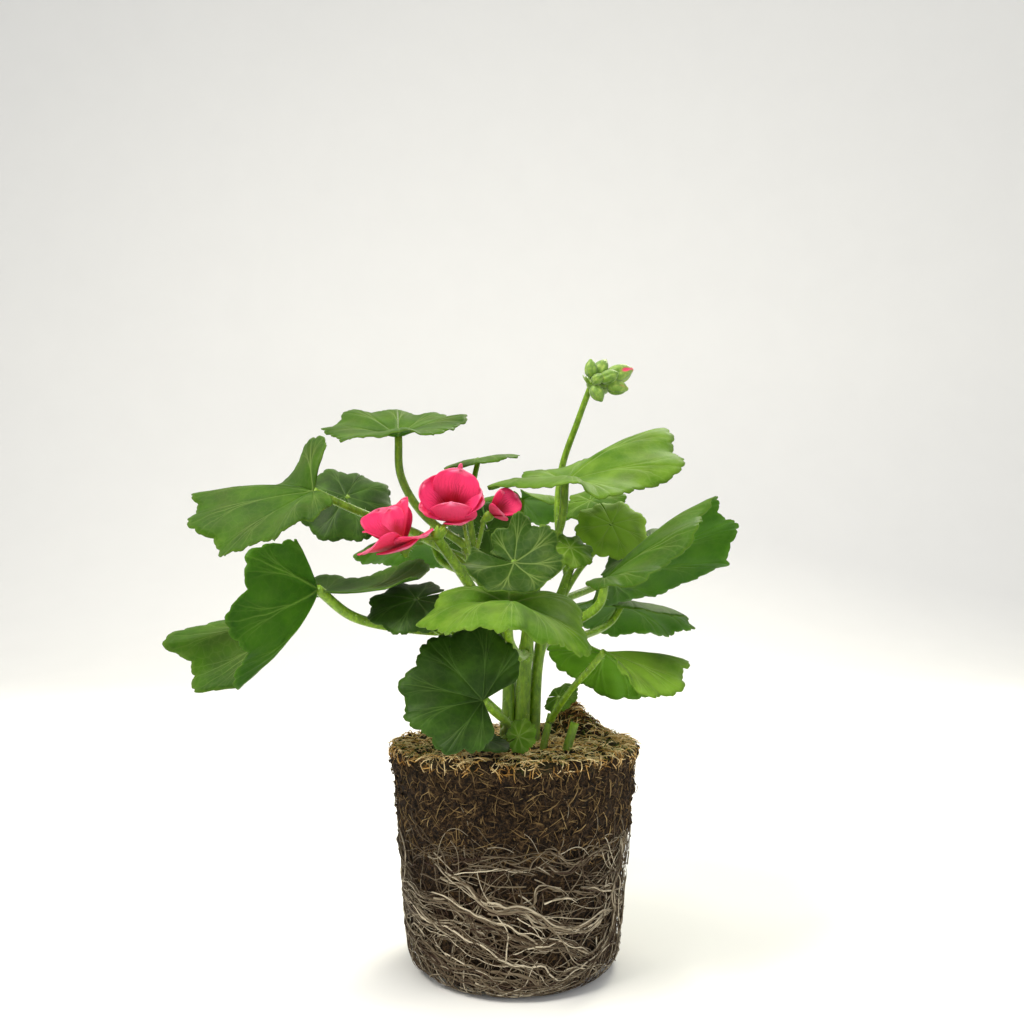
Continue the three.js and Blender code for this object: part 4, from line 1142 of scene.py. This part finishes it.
def open_floret(floret, number):
    """A semi-double floret: broad outer petals, smaller inner ones and the stamens."""
    size = floret["size"]
    petals = []
    for i, (around, rise, bend, length, width, lift) in enumerate(PETALS[floret["name"]]):
        notch = 0.05 if length > 0.8 else 0.0
        cup = 0.5 * min(1, length / width) ** 2
        sheet = petal(length * size, width / length, rise, bend, cup, 40 * number + i, notch)
        turn = Matrix.Rotation(math.radians(around), 4, "Z")
        sheet.data.transform(Matrix.Translation((0, 0, lift * MM)) @ turn)
        petals.append(sheet)
    rng = random.Random(number)
    filaments = []
    for i in range(7):
        turn = 2 * math.pi * i / 7 + rng.uniform(-0.3, 0.3)
        lean = rng.uniform(0.1, 0.3)
        top = np.array([math.cos(turn) * lean, math.sin(turn) * lean, 1])
        top = top * STAMEN_SHARE * size
        filaments.append((np.array([(0, 0, 1), top * 0.6, top]), np.array([0.22, 0.16, 0.12]), 0.9))
        pod = unit(top)
        ends = np.array([top, top + 0.7 * pod, top + 1.4 * pod])
        filaments.append((ends, np.array([0.2, 0.42, 0.18]), 0.9))
    stamens = strands(filaments, 1, petal_inner)
    stamens.data.materials.append(anther)
    tip = STAMEN_SHARE * size * 0.97 * MM
    for face in stamens.data.polygons:
        if face.center.length > tip:
            face.material_index = 1
    whole = join([*petals, stamens])
    way = Vector(floret["open"]).normalized()
    turn = Vector((0, 0, 1)).rotation_difference(way).to_matrix().to_4x4()
    whole.data.transform(Matrix.Translation(Vector(floret["foot"]) * MM) @ turn)
    return ride(whole, "open_floret_" + floret["name"], "petal", "floret_" + floret["name"])


for number, floret in enumerate(FLORETS):
    open_floret(floret, number)


# Bud head

BUD_LENGTH = 9
BUD_RADIUS = 3.3
# The buds of the head: the way each points, how far out it sits, how far it has parted, and its size.
BUDS = [
    ((-0.08, -0.25, 1), 6.6, 0.15, 0.85), ((0.5, 0.2, 0.85), 8.6, 0.2, 1.0),
    ((0.3, 0.85, 0.5), 6.5, 0.2, 0.95), ((0.94, 0.05, 0.34), 13.4, 1.0, 1.32),
    ((0.9, -0.45, 0.28), 8.6, 0.25, 0.92), ((0.97, -0.1, -0.17), 11.6, 0.4, 1.02),
    ((0.55, 0.7, -0.1), 7.5, 0.2, 1.0), ((0.45, -0.8, 0.25), 4.6, 0.1, 0.72),
    ((0.4, -0.25, -0.8), 5.4, 0.1, 0.92),
]
BUDS = [(unit(vector(way)), *rest) for way, *rest in BUDS]


# A bud that has begun to part shows it on the side that looks this way.
SEEN_FROM = vector((0.2, -1.0, 0.15))


def closed_bud():
    """A closed bud along +Z, centred: five hairy scales with furrows between them and a short tip.
    One furrow, on its +X side, has begun to part."""
    unselect()
    bpy.ops.mesh.primitive_uv_sphere_add(segments=40, ring_count=22, radius=1)
    bud = bpy.context.object
    ball = places(bud) * MM
    turn = np.arctan2(ball[:, 1], ball[:, 0])
    z = ball[:, 2]
    out = np.hypot(ball[:, 0], ball[:, 1])
    furrow = 1 - 0.15 * np.abs(np.cos(2.5 * turn)) ** 8 * out
    swell = out**0.85 * furrow * (1 - 0.12 * z) * BUD_RADIUS * 1.08
    tip = 0.9 * np.clip((z - 0.88) / 0.12, 0, 1) ** 2
    place(bud, np.column_stack([swell * np.cos(turn), swell * np.sin(turn), z * BUD_LENGTH / 2 + tip]))
    smooth(bud)
    parting = np.exp(-((turn / 0.3) ** 2)) * np.clip((z + 0.1) / 0.5, 0, 1)
    keep_value(bud, "tint", np.maximum(parting, 0.75 * np.clip((z - 0.9) / 0.1, 0, 1)))
    bud.data.materials.append(bud_scale)
    return bud


model = closed_bud()
pieces = []
centre = vector(BUD_CENTRE)
bud_lines = []
for way, out, flush, size in BUDS:
    x = unit(SEEN_FROM - way * (SEEN_FROM @ way))
    turned = standing(centre + way * out, x, np.cross(way, x), way)
    twin = copy_to(model, turned @ Matrix.Diagonal((size, size, size, 1)))
    parted = np.empty(len(twin.data.vertices), dtype=np.float32)
    twin.data.attributes["tint"].data.foreach_get("value", parted)
    twin.data.attributes["tint"].data.foreach_set("value", (parted * flush).astype(np.float32))
    pieces.append(twin)
    if out > BUD_LENGTH / 2:
        pedicel = smooth_line([centre, centre + way * (out - 0.42 * BUD_LENGTH)], 1.0)
        bud_lines.append((pedicel, np.linspace(0.8, 1.1, len(pedicel)), 0.0))
bpy.data.objects.remove(model)
rings = smooth_line([centre - (0, 0, 3), centre, centre + (0, 0, 2.4)], 0.8)
bud_lines.append((rings, 2.6 * np.sin(np.linspace(0.5, 2.8, len(rings))), 0.0))
head = join([strands(bud_lines, 3, bud_scale), *pieces])
ride(head, "bud_head", "bud", "bud_cluster")

bud_hair_lines = []
for way, out, _, size in BUDS:
    line = smooth_line([centre + way * (out - 4.2 * size), centre + way * (out + 4.6 * size)], 0.6)
    shape = np.sin(np.linspace(0.35, 2.9, len(line))) * BUD_RADIUS * 0.9 * size
    bud_hair_lines.append((line, shape, EVEN_TINT))
bud_hairs = strands(spikes(bud_hair_lines, 0.16, 1.0, 9), 0, stem_hair)
ride(bud_hairs, "bud_hairs", "bud")


# Root ball

# The peat's grid has this many columns round the ball.
TURN_STEPS = 225


def ball_radius(height):
    """Outer radius of the ball at a height, with its foot rounded by the pot."""
    wall = BALL_FOOT_RADIUS + (BALL_TOP_RADIUS - BALL_FOOT_RADIUS) * height / BALL_HEIGHT
    short = np.clip(FOOT_ROUNDING - height, 0, FOOT_ROUNDING)
    return wall - (FOOT_ROUNDING - np.sqrt(FOOT_ROUNDING**2 - short**2))


def lump(turn, share):
    """Height of the lump of peat at the back of the top."""
    across = (turn - LUMP_TURN) / LUMP_TURN_WIDTH
    out = (share - LUMP_SHARE) / LUMP_SHARE_WIDTH
    return LUMP_HEIGHT * np.exp(-(across**2) - out**2)


def peat_relief(points):
    """How far the crumbs stand out of the smooth ball: rough above the roots, recessed under them."""
    height = points[:, 2]
    rough = np.clip((height - 55) / 12, 0, 1)
    crumbs = 1.5 * bumps(points, 8, 1) + 1.1 * bumps(points, 3.6, 2) + 0.6 * bumps(points, 1.9, 3)
    return (0.45 + 0.55 * rough) * crumbs - 1.7 * (1 - rough) - 0.5 * rough


def peat_body():
    """The peat: a grid wrapped round the axis and along the ball's outline, its skin then crumbled."""
    seat = np.linspace(0, SEAT_RADIUS, 10)
    wall = np.linspace(0.4, BALL_HEIGHT, 84)
    top = np.linspace(BALL_TOP_RADIUS - 1.2, 0, 42)
    outline = np.concatenate([seat, ball_radius(wall), top])
    heights = np.concatenate([0 * seat, wall, 0 * top + TOP_HEIGHT])
    last = len(outline) - 1
    peat, flat = grid(TURN_STEPS, last)
    around = math.pi * flat[:, 0]
    row = np.rint((flat[:, 1] + 1) / 2 * last).astype(int)
    out = outline[row]
    place(peat, np.column_stack([out * np.cos(around), out * np.sin(around), heights[row]]))
    weld(peat, face_out=True)
    points = places(peat)
    outward = np.empty(len(points) * 3)
    peat.data.vertices.foreach_get("normal", outward)
    outward = outward.reshape(-1, 3)
    share = np.hypot(points[:, 0], points[:, 1]) / BALL_TOP_RADIUS
    turn = np.arctan2(points[:, 1], points[:, 0])
    on_top = points[:, 2] > TOP_HEIGHT - 0.1
    points[:, 2] += np.where(on_top, lump(turn, share), 0)
    seated = points[:, 2] < 0.2
    amount = np.where(seated, 0, peat_relief(points))
    moved = points + outward * amount[:, None]
    moved[:, 2] = np.maximum(moved[:, 2], np.where(seated, 0, 0.25))
    place(peat, moved)
    smooth(peat)
    peat.data.materials.append(peat_crumb)
    return ride(peat, "peat_body", "peat", "peat_ball")


peat_body()


def skin_spots(count, draw):
    """Points on the crumbled skin with the way outwards. draw gives a turn, and a height on the wall
    or, as a negative number, a share of the top's radius."""
    smooth_points, outward = [], []
    for _ in range(count):
        turn, spot = draw()
        across = np.array([math.cos(turn), math.sin(turn), 0])
        if spot < 0:
            high = TOP_HEIGHT + lump(turn, -spot)
            smooth_points.append(-spot * BALL_TOP_RADIUS * across + (0, 0, high))
            slope = (lump(turn, -spot + 0.02) - lump(turn, -spot)) / (0.02 * BALL_TOP_RADIUS)
            outward.append(unit(np.array([0, 0, 1]) - slope * across))
        else:
            smooth_points.append(ball_radius(spot) * across + (0, 0, spot))
            outward.append(across)
    smooth_points, outward = np.array(smooth_points), np.array(outward)
    return smooth_points + outward * peat_relief(smooth_points)[:, None], outward


def shreds(spots, rng, length, lift, thickness, tint, upright=0.0):
    """Short bent shreds that lie on the skin, each part lifted off it."""
    lines = []
    for point, outward in zip(*spots):
        side = np.array([rng.gauss(0, 1) for _ in range(3)])
        side = unit(side - outward * (side @ outward) + outward * rng.uniform(0, upright))
        cross = np.cross(outward, side)
        run = rng.uniform(*length)
        bend = rng.uniform(-0.5, 0.5) * run
        curl = rng.uniform(-0.3, 0.3) * run
        high = rng.uniform(*lift)
        t = np.linspace(-0.5, 0.5, 4)[:, None]
        line = point + side * run * t + cross * (bend * (t**2 - 0.1) + curl * t**3)
        line = line + outward * (high * (1 - (2 * t) ** 2) - 0.25 + high * t * rng.uniform(-1, 1))
        wide = rng.uniform(*thickness)
        line[:, 2] = np.maximum(line[:, 2], 1.0)
        lines.append((line, wide * np.array([0.5, 1.0, 0.9, 0.4]), rng.uniform(*tint)))
    return lines


def anywhere(low, high):
    """A draw of places on the wall between two heights."""
    return lambda: (rng.uniform(-math.pi, math.pi), rng.uniform(low, high))


def on_top(least, most):
    """A draw of places on the top between two shares of its radius."""
    return lambda: (rng.uniform(-math.pi, math.pi), -math.sqrt(rng.uniform(least**2, most**2)))


# The shreds on the wall: how many, between which heights, and the ranges of their length, lift,
# radius and tint. Most lie above the roots, and a few are long and pale.
WALL_SHREDS = [
    (3700, (54, 97), (2, 6.5), (0.2, 1.2), (0.1, 0.27), (0.0, 0.6)),
    (440, (56, 97), (5, 12), (0.3, 1.4), (0.1, 0.22), (0.55, 0.85)),
    (1100, (3, 58), (2, 6), (0.2, 0.8), (0.1, 0.24), (0.0, 0.55)),
]
rng = random.Random(11)
wall_lines = []
for count, heights, *form in WALL_SHREDS:
    wall_lines += shreds(skin_spots(count, anywhere(*heights)), rng, *form)
wall_fibres = strands(wall_lines, 0, peat_fibre)
ride(wall_fibres, "wall_fibres", "peat")

lump_skin = skin_spots(260, lambda: (rng.gauss(LUMP_TURN, 0.2), -rng.gauss(LUMP_SHARE, 0.1)))
rim_skin = skin_spots(560, lambda: (rng.uniform(-math.pi, math.pi), rng.choice([-0.97, 94.0, 96.0])))
top_lines = shreds(skin_spots(2300, on_top(0.15, 0.99)), rng, (3, 11), (0.4, 2.0), (0.1, 0.28), (0.45, 1.1))
top_lines += shreds(rim_skin, rng, (3, 8), (0.4, 1.6), (0.1, 0.26), (0.1, 1.0), 0.4)
top_lines += shreds(lump_skin, rng, (3, 8), (0.4, 1.6), (0.1, 0.26), (0.0, 0.3), 0.8)
top_fibres = strands(top_lines, 0, straw)
ride(top_fibres, "top_fibres", "peat")

# Moss grows in patches round these turns, near the rim.
moss_turns = [math.radians(turn) for turn in (25, 60, -20, -75, -150)]
moss_spots = skin_spots(
    520, lambda: (rng.choice(moss_turns) + rng.gauss(0, 0.22), -min(0.98, max(0.2, rng.gauss(0.82, 0.13))))
)
moss_lines = shreds(moss_spots, rng, (2, 6), (0.4, 1.8), (0.1, 0.22), (0.1, 0.9), 0.9)
moss = strands(moss_lines, 0, moss_thread)
ride(moss, "moss", "peat")


def loose_crumb():
    """A crumb of peat that sits loose on the skin: a rounded cube, made lumpy."""
    unselect()
    bpy.ops.mesh.primitive_cube_add(size=1.25)
    crumb = bpy.context.object
    bpy.ops.object.mode_set(mode="EDIT")
    bpy.ops.mesh.subdivide(number_cuts=1, smoothness=1.0)
    bpy.ops.object.mode_set(mode="OBJECT")
    shape = places(crumb) * MM
    place(crumb, shape * (1 + 0.35 * bumps(shape * 1.7, 1, 4))[:, None])
    smooth(crumb)
    return crumb


def wall_or_top():
    """A draw of places on the upper wall or on the top."""
    return rng.uniform(-math.pi, math.pi), rng.choice([rng.uniform(60, 97), -rng.uniform(0.2, 0.98)])


model = loose_crumb()
pieces = []
for point, outward in zip(*skin_spots(360, wall_or_top)):
    turn = Matrix.Rotation(rng.uniform(0, 2 * math.pi), 4, Vector(outward))
    size = rng.uniform(0.35, 1.25)
    shape = Matrix.Diagonal([size * rng.uniform(0.7, 1.3) for _ in range(3)]).to_4x4()
    pieces.append(copy_to(model, Matrix.Translation(Vector((point + 0.3 * outward) * MM)) @ turn @ shape))
bpy.data.objects.remove(model)
crumbs = join(pieces)
crumbs.data.materials.append(peat_crumb)
ride(crumbs, "peat_crumbs", "peat")


# Roots. The bundles on the seen side, each a way over the ball by turn in degrees and height in
# millimetres, with the number of roots, how far they spread and how thick they are.
ROOT_BUNDLES = [
    ([(-129, 53), (-121, 51), (-111, 47), (-105, 42), (-96, 39), (-86, 38), (-78, 34), (-67, 30),
      (-53, 28), (-42, 32), (-30, 32)], 15, 2.6, 0.62),
    ([(-177, 37), (-154, 39), (-140, 38), (-124, 38), (-111, 34), (-99, 31), (-88, 27), (-78, 24),
      (-66, 22), (-50, 15), (-39, 17), (-32, 24)], 15, 2.8, 0.55),
    ([(-177, 30), (-148, 30), (-132, 29), (-117, 27), (-106, 23), (-100, 20), (-88, 18), (-78, 15),
      (-68, 9), (-57, 11), (-43, 14), (-29, 17)], 14, 2.8, 0.5),
    ([(-177, 20), (-149, 16), (-128, 13), (-112, 11), (-99, 9), (-85, 7), (-72, 6), (-63, 9),
      (-51, 10)], 14, 2.8, 0.5),
    ([(-127, 54), (-114, 59), (-108, 58), (-98, 61), (-90, 61), (-84, 60)], 5, 1.4, 0.42),
    ([(-83, 55), (-81, 60), (-75, 63), (-71, 61), (-64, 56), (-59, 56), (-50, 59), (-32, 58)],
     5, 1.2, 0.45),
    ([(-82, 59), (-75, 56), (-65, 53), (-59, 56), (-50, 59), (-32, 58)], 5, 1.2, 0.5),
    ([(-118, 52), (-105, 55), (-93, 55), (-80, 53)], 5, 1.8, 0.35),
    ([(-86, 38), (-81, 42), (-81, 47), (-77, 49), (-69, 46), (-64, 41), (-59, 39)], 4, 1.2, 0.42),
    ([(-76, 41), (-67, 43), (-60, 40)], 3, 0.8, 0.5),
    ([(-66, 48), (-58, 45), (-48, 42), (-40, 36), (-34, 31)], 5, 1.2, 0.5),
    ([(-59, 47), (-48, 44), (-36, 41), (-28, 46)], 4, 1.2, 0.5),
    ([(-120, 43), (-120, 38), (-114, 37), (-110, 31), (-106, 26), (-100, 22), (-98, 18), (-88, 18)],
     5, 1.2, 0.5),
    ([(-131, 34), (-126, 30), (-117, 30), (-112, 25), (-103, 21)], 5, 1.2, 0.45),
    ([(-111, 9), (-99, 5), (-85, 3), (-73, 4), (-60, 4)], 9, 1.6, 0.45),
    ([(-103, 13), (-94, 14), (-85, 11), (-78, 7), (-67, 5)], 5, 1.2, 0.5),
    ([(-95, 27), (-86, 24), (-78, 24), (-67, 25), (-58, 21), (-47, 15)], 7, 1.6, 0.45),
    ([(-29, 61), (-29, 50), (-34, 40), (-30, 32), (-30, 30), (-34, 21), (-43, 14), (-54, 4)], 9, 1.6, 0.5),
    ([(-177, 38), (-172, 24), (-165, 9), (-152, 5), (-136, 4)], 8, 2.0, 0.42),
    ([(-168, 45), (-159, 41), (-141, 39), (-131, 35), (-126, 29)], 8, 1.8, 0.42),
    ([(-149, 82), (-143, 73), (-132, 63), (-120, 58), (-113, 59)], 5, 1.8, 0.3),
]
# The step between a root's points, and the radius at which turns become runs round the ball, in mm.
ROOT_STEP = 1.75
BALL_ARC = 50.0
# The roots are older and browner round this turn, in degrees.
AGED_TURN = -165
# How many bundles circle the sides and the back.
HIDDEN_BUNDLES = 26


def root_on_ball(arc, height, layer):
    """A root's points on the ball, layer millimetres outside its skin."""
    height = np.clip(height, 1.2, 94)
    radius = ball_radius(height) + layer
    turn = arc / BALL_ARC
    return np.column_stack([radius * np.cos(turn), radius * np.sin(turn), height])


def bundle_roots(way, count, spread, thickness, rng):
    """Roots that run together along one way, parting and meeting again."""
    arcs = [(math.radians(turn) * BALL_ARC, height) for turn, height in way]
    middle = smooth_line(arcs, ROOT_STEP)
    ahead = unit(np.gradient(middle, axis=0))
    aside = np.column_stack([-ahead[:, 1], ahead[:, 0]])
    run = np.arange(len(middle)) * ROOT_STEP
    lines = []
    for i in range(count):
        off = spread * rng.gauss(0, 0.6)
        seed = rng.uniform(0, 900)
        sway = wave(seed, run, 17, 0) * spread * 1.6
        wiggle = wave(seed, run, 5.5, 5) * 1.5
        first = rng.randrange(0, max(1, len(run) // 3))
        last = len(run) - rng.randrange(0, max(1, len(run) // 4))
        path = (middle + aside * (off + sway + wiggle)[:, None])[first:last]
        if len(path) < 5:
            continue
        weave = 0.7 * wave(seed, run, 9, 9)[first:last]
        layer = rng.uniform(-0.5, 1.1) + weave
        thick = thickness * (rng.uniform(0.8, 1.1) if rng.random() < 0.2 else rng.uniform(0.3, 0.72))
        taper = np.linspace(1.0, 0.6, len(path))
        taper[-3:] *= [0.8, 0.55, 0.3]
        line = root_on_ball(path[:, 0], path[:, 1], layer)
        turn = math.degrees(path[:, 0].mean() / BALL_ARC)
        aged = 0.3 * math.exp(-(((turn - AGED_TURN) / 28) ** 2))
        lines.append((line, thick * taper, min(1, max(0.03, rng.gauss(0.47, 0.22) - aged))))
    return lines


def wandering_root(rng, arc, height, heading, length, thickness):
    """One root that wanders over the ball from a place on it. It turns back where it comes too high
    or reaches the foot."""
    path = []
    seed = rng.uniform(0, 900)
    for drift in 0.45 * wave(seed, range(round(length / ROOT_STEP)), 5, 0):
        path.append((arc, height))
        heading += drift
        if height > ROOT_LINE:
            heading -= 0.2 * math.cos(heading)
        if height < 4:
            heading += 0.3 * math.cos(heading)
        arc += ROOT_STEP * math.cos(heading)
        height += ROOT_STEP * math.sin(heading)
    path = np.array(path)
    weave = 0.6 * wave(seed, range(len(path)), 6, 3)
    taper = np.linspace(1.0, 0.45, len(path))
    line = root_on_ball(path[:, 0], path[:, 1], rng.uniform(-0.9, 0.9) + weave)
    return line, thickness * taper, min(1, max(0.03, rng.gauss(0.47, 0.25)))


rng = random.Random(21)
bundle_lines = []
for way, count, spread, thickness in ROOT_BUNDLES:
    bundle_lines += bundle_roots(way, count, spread, thickness, rng)
# The sides and the back carry the same sort of bundles, circling and sinking towards the foot.
for i in range(HIDDEN_BUNDLES):
    turn = -20 + 200 * (i * 0.618 % 1)
    height = 6 + 54 * (i * 0.414 % 1)
    way = []
    slope = rng.uniform(-0.28, 0.16)
    for step in range(8):
        way.append((turn + 11 * step, min(63, max(3, height))))
        height += 11 * slope + rng.uniform(-3, 3)
    count, spread, thickness = rng.randrange(6, 12), rng.uniform(1.4, 2.8), rng.uniform(0.4, 0.6)
    bundle_lines += bundle_roots(way, count, spread, thickness, rng)
bundles = strands(bundle_lines, 1, washed_root)
ride(bundles, "root_bundles", "root", "root_net")

fine_lines = []
for _ in range(820):
    height = 2 + 60 * rng.random() ** 1.2
    heading = rng.gauss(-0.15, 0.75) + (math.pi if rng.random() < 0.3 else 0)
    arc = rng.uniform(-math.pi, math.pi) * BALL_ARC
    length, thickness = rng.uniform(10, 50), rng.uniform(0.12, 0.36)
    fine_lines.append(wandering_root(rng, arc, height, heading, length, thickness))
# A few reach up over the line where the roots end.
for _ in range(60):
    arc = rng.uniform(-math.pi, math.pi) * BALL_ARC
    height, heading = rng.uniform(58, 72), rng.gauss(-0.4, 0.6)
    length, thickness = rng.uniform(10, 28), rng.uniform(0.12, 0.24)
    fine_lines.append(wandering_root(rng, arc, height, heading, length, thickness))
fine_roots = strands(fine_lines, 0, washed_root)
ride(fine_roots, "fine_roots", "root")


# The stage: a plain pale floor that sweeps up behind, soft lights, and the camera


def paper_skin(add):
    fibres = add("TexNoise", {"Vector": add("TexCoord").outputs["Object"], "Scale": per_metre(90)})
    colour = add("Mix", {0: fibres, 6: "#f4f4f2", 7: "#f7f7f5"}, data_type="RGBA")
    return add("BsdfPrincipled", {"Base Color": colour, "Roughness": 0.9})


# Backdrop: matt paper, nearly white, so that the plant's edges stand out against it.
backdrop = made("backdrop paper, matt", paper_skin)


def sweep():
    """The floor runs level, then curves up behind into a wall."""
    rise = np.linspace(0.0, math.pi / 2, 15)
    curve = np.column_stack([1.2 + 0.8 * np.sin(rise), 0.8 - 0.8 * np.cos(rise)])
    profile = np.vstack([(-2.5, 0.0), curve, (2.0, 3.0)])
    last = len(profile) - 1
    floor, flat = grid(1, last)
    floor.name = "floor"
    row = np.rint((flat[:, 1] + 1) / 2 * last).astype(int)
    place(floor, np.column_stack([4 * flat[:, 0], profile[row]]) / MM)
    smooth(floor)
    floor.data.materials.append(backdrop)


sweep()


MIDDLE = (0, 0, 0.15)


def soft_light(name, at, size, power, colour):
    """A round lamp that looks at the plant's middle."""
    lamp = bpy.data.lights.new(name, "AREA")
    lamp.shape = "DISK"
    lamp.size = size
    lamp.energy = power
    lamp.color = linear(colour)[:3]
    holder = bpy.data.objects.new(name, lamp)
    bpy.context.scene.collection.objects.link(holder)
    holder.location = at
    holder.rotation_euler = (Vector(MIDDLE) - Vector(at)).to_track_quat("-Z", "Y").to_euler()


soft_light("key light", (-0.6, -0.5, 1.3), 0.6, 24, "#fffaf0")
soft_light("back light", (0.45, 0.85, 1.15), 0.6, 14, "#fffbe8")
soft_light("fill light", (0.9, -1.0, 0.5), 1.2, 4, "#f2f6ff")

world = bpy.data.worlds.new("studio")
bpy.context.scene.world = world
world.use_nodes = True
world.node_tree.nodes["Background"].inputs["Color"].default_value = linear("#ffffff")
world.node_tree.nodes["Background"].inputs["Strength"].default_value = 0.6

# The photograph's camera: 420 mm in front of the plant's axis and 167 mm up, level. Its frame is
# 1024 pixels wide, and its focal length 930 pixels; the horizon lies on row 589.
FRAME_WIDTH = 1024
FOCAL_PIXELS = 930
HORIZON_ROW = 589
AXIS_COLUMN = 514
SENSOR = 36
camera = bpy.data.cameras.new("camera")
camera.sensor_width = SENSOR
camera.lens = SENSOR * FOCAL_PIXELS / FRAME_WIDTH
camera.shift_x = (FRAME_WIDTH / 2 - AXIS_COLUMN) / FRAME_WIDTH
camera.shift_y = (HORIZON_ROW - FRAME_WIDTH / 2) / FRAME_WIDTH
camera.clip_start = 0.01
holder = bpy.data.objects.new("camera", camera)
bpy.context.scene.collection.objects.link(holder)
holder.location = (0, -0.42, 0.167)
holder.rotation_euler = (math.radians(90), 0, 0)
bpy.context.scene.camera = holder
bpy.context.scene.view_settings.view_transform = "Standard"
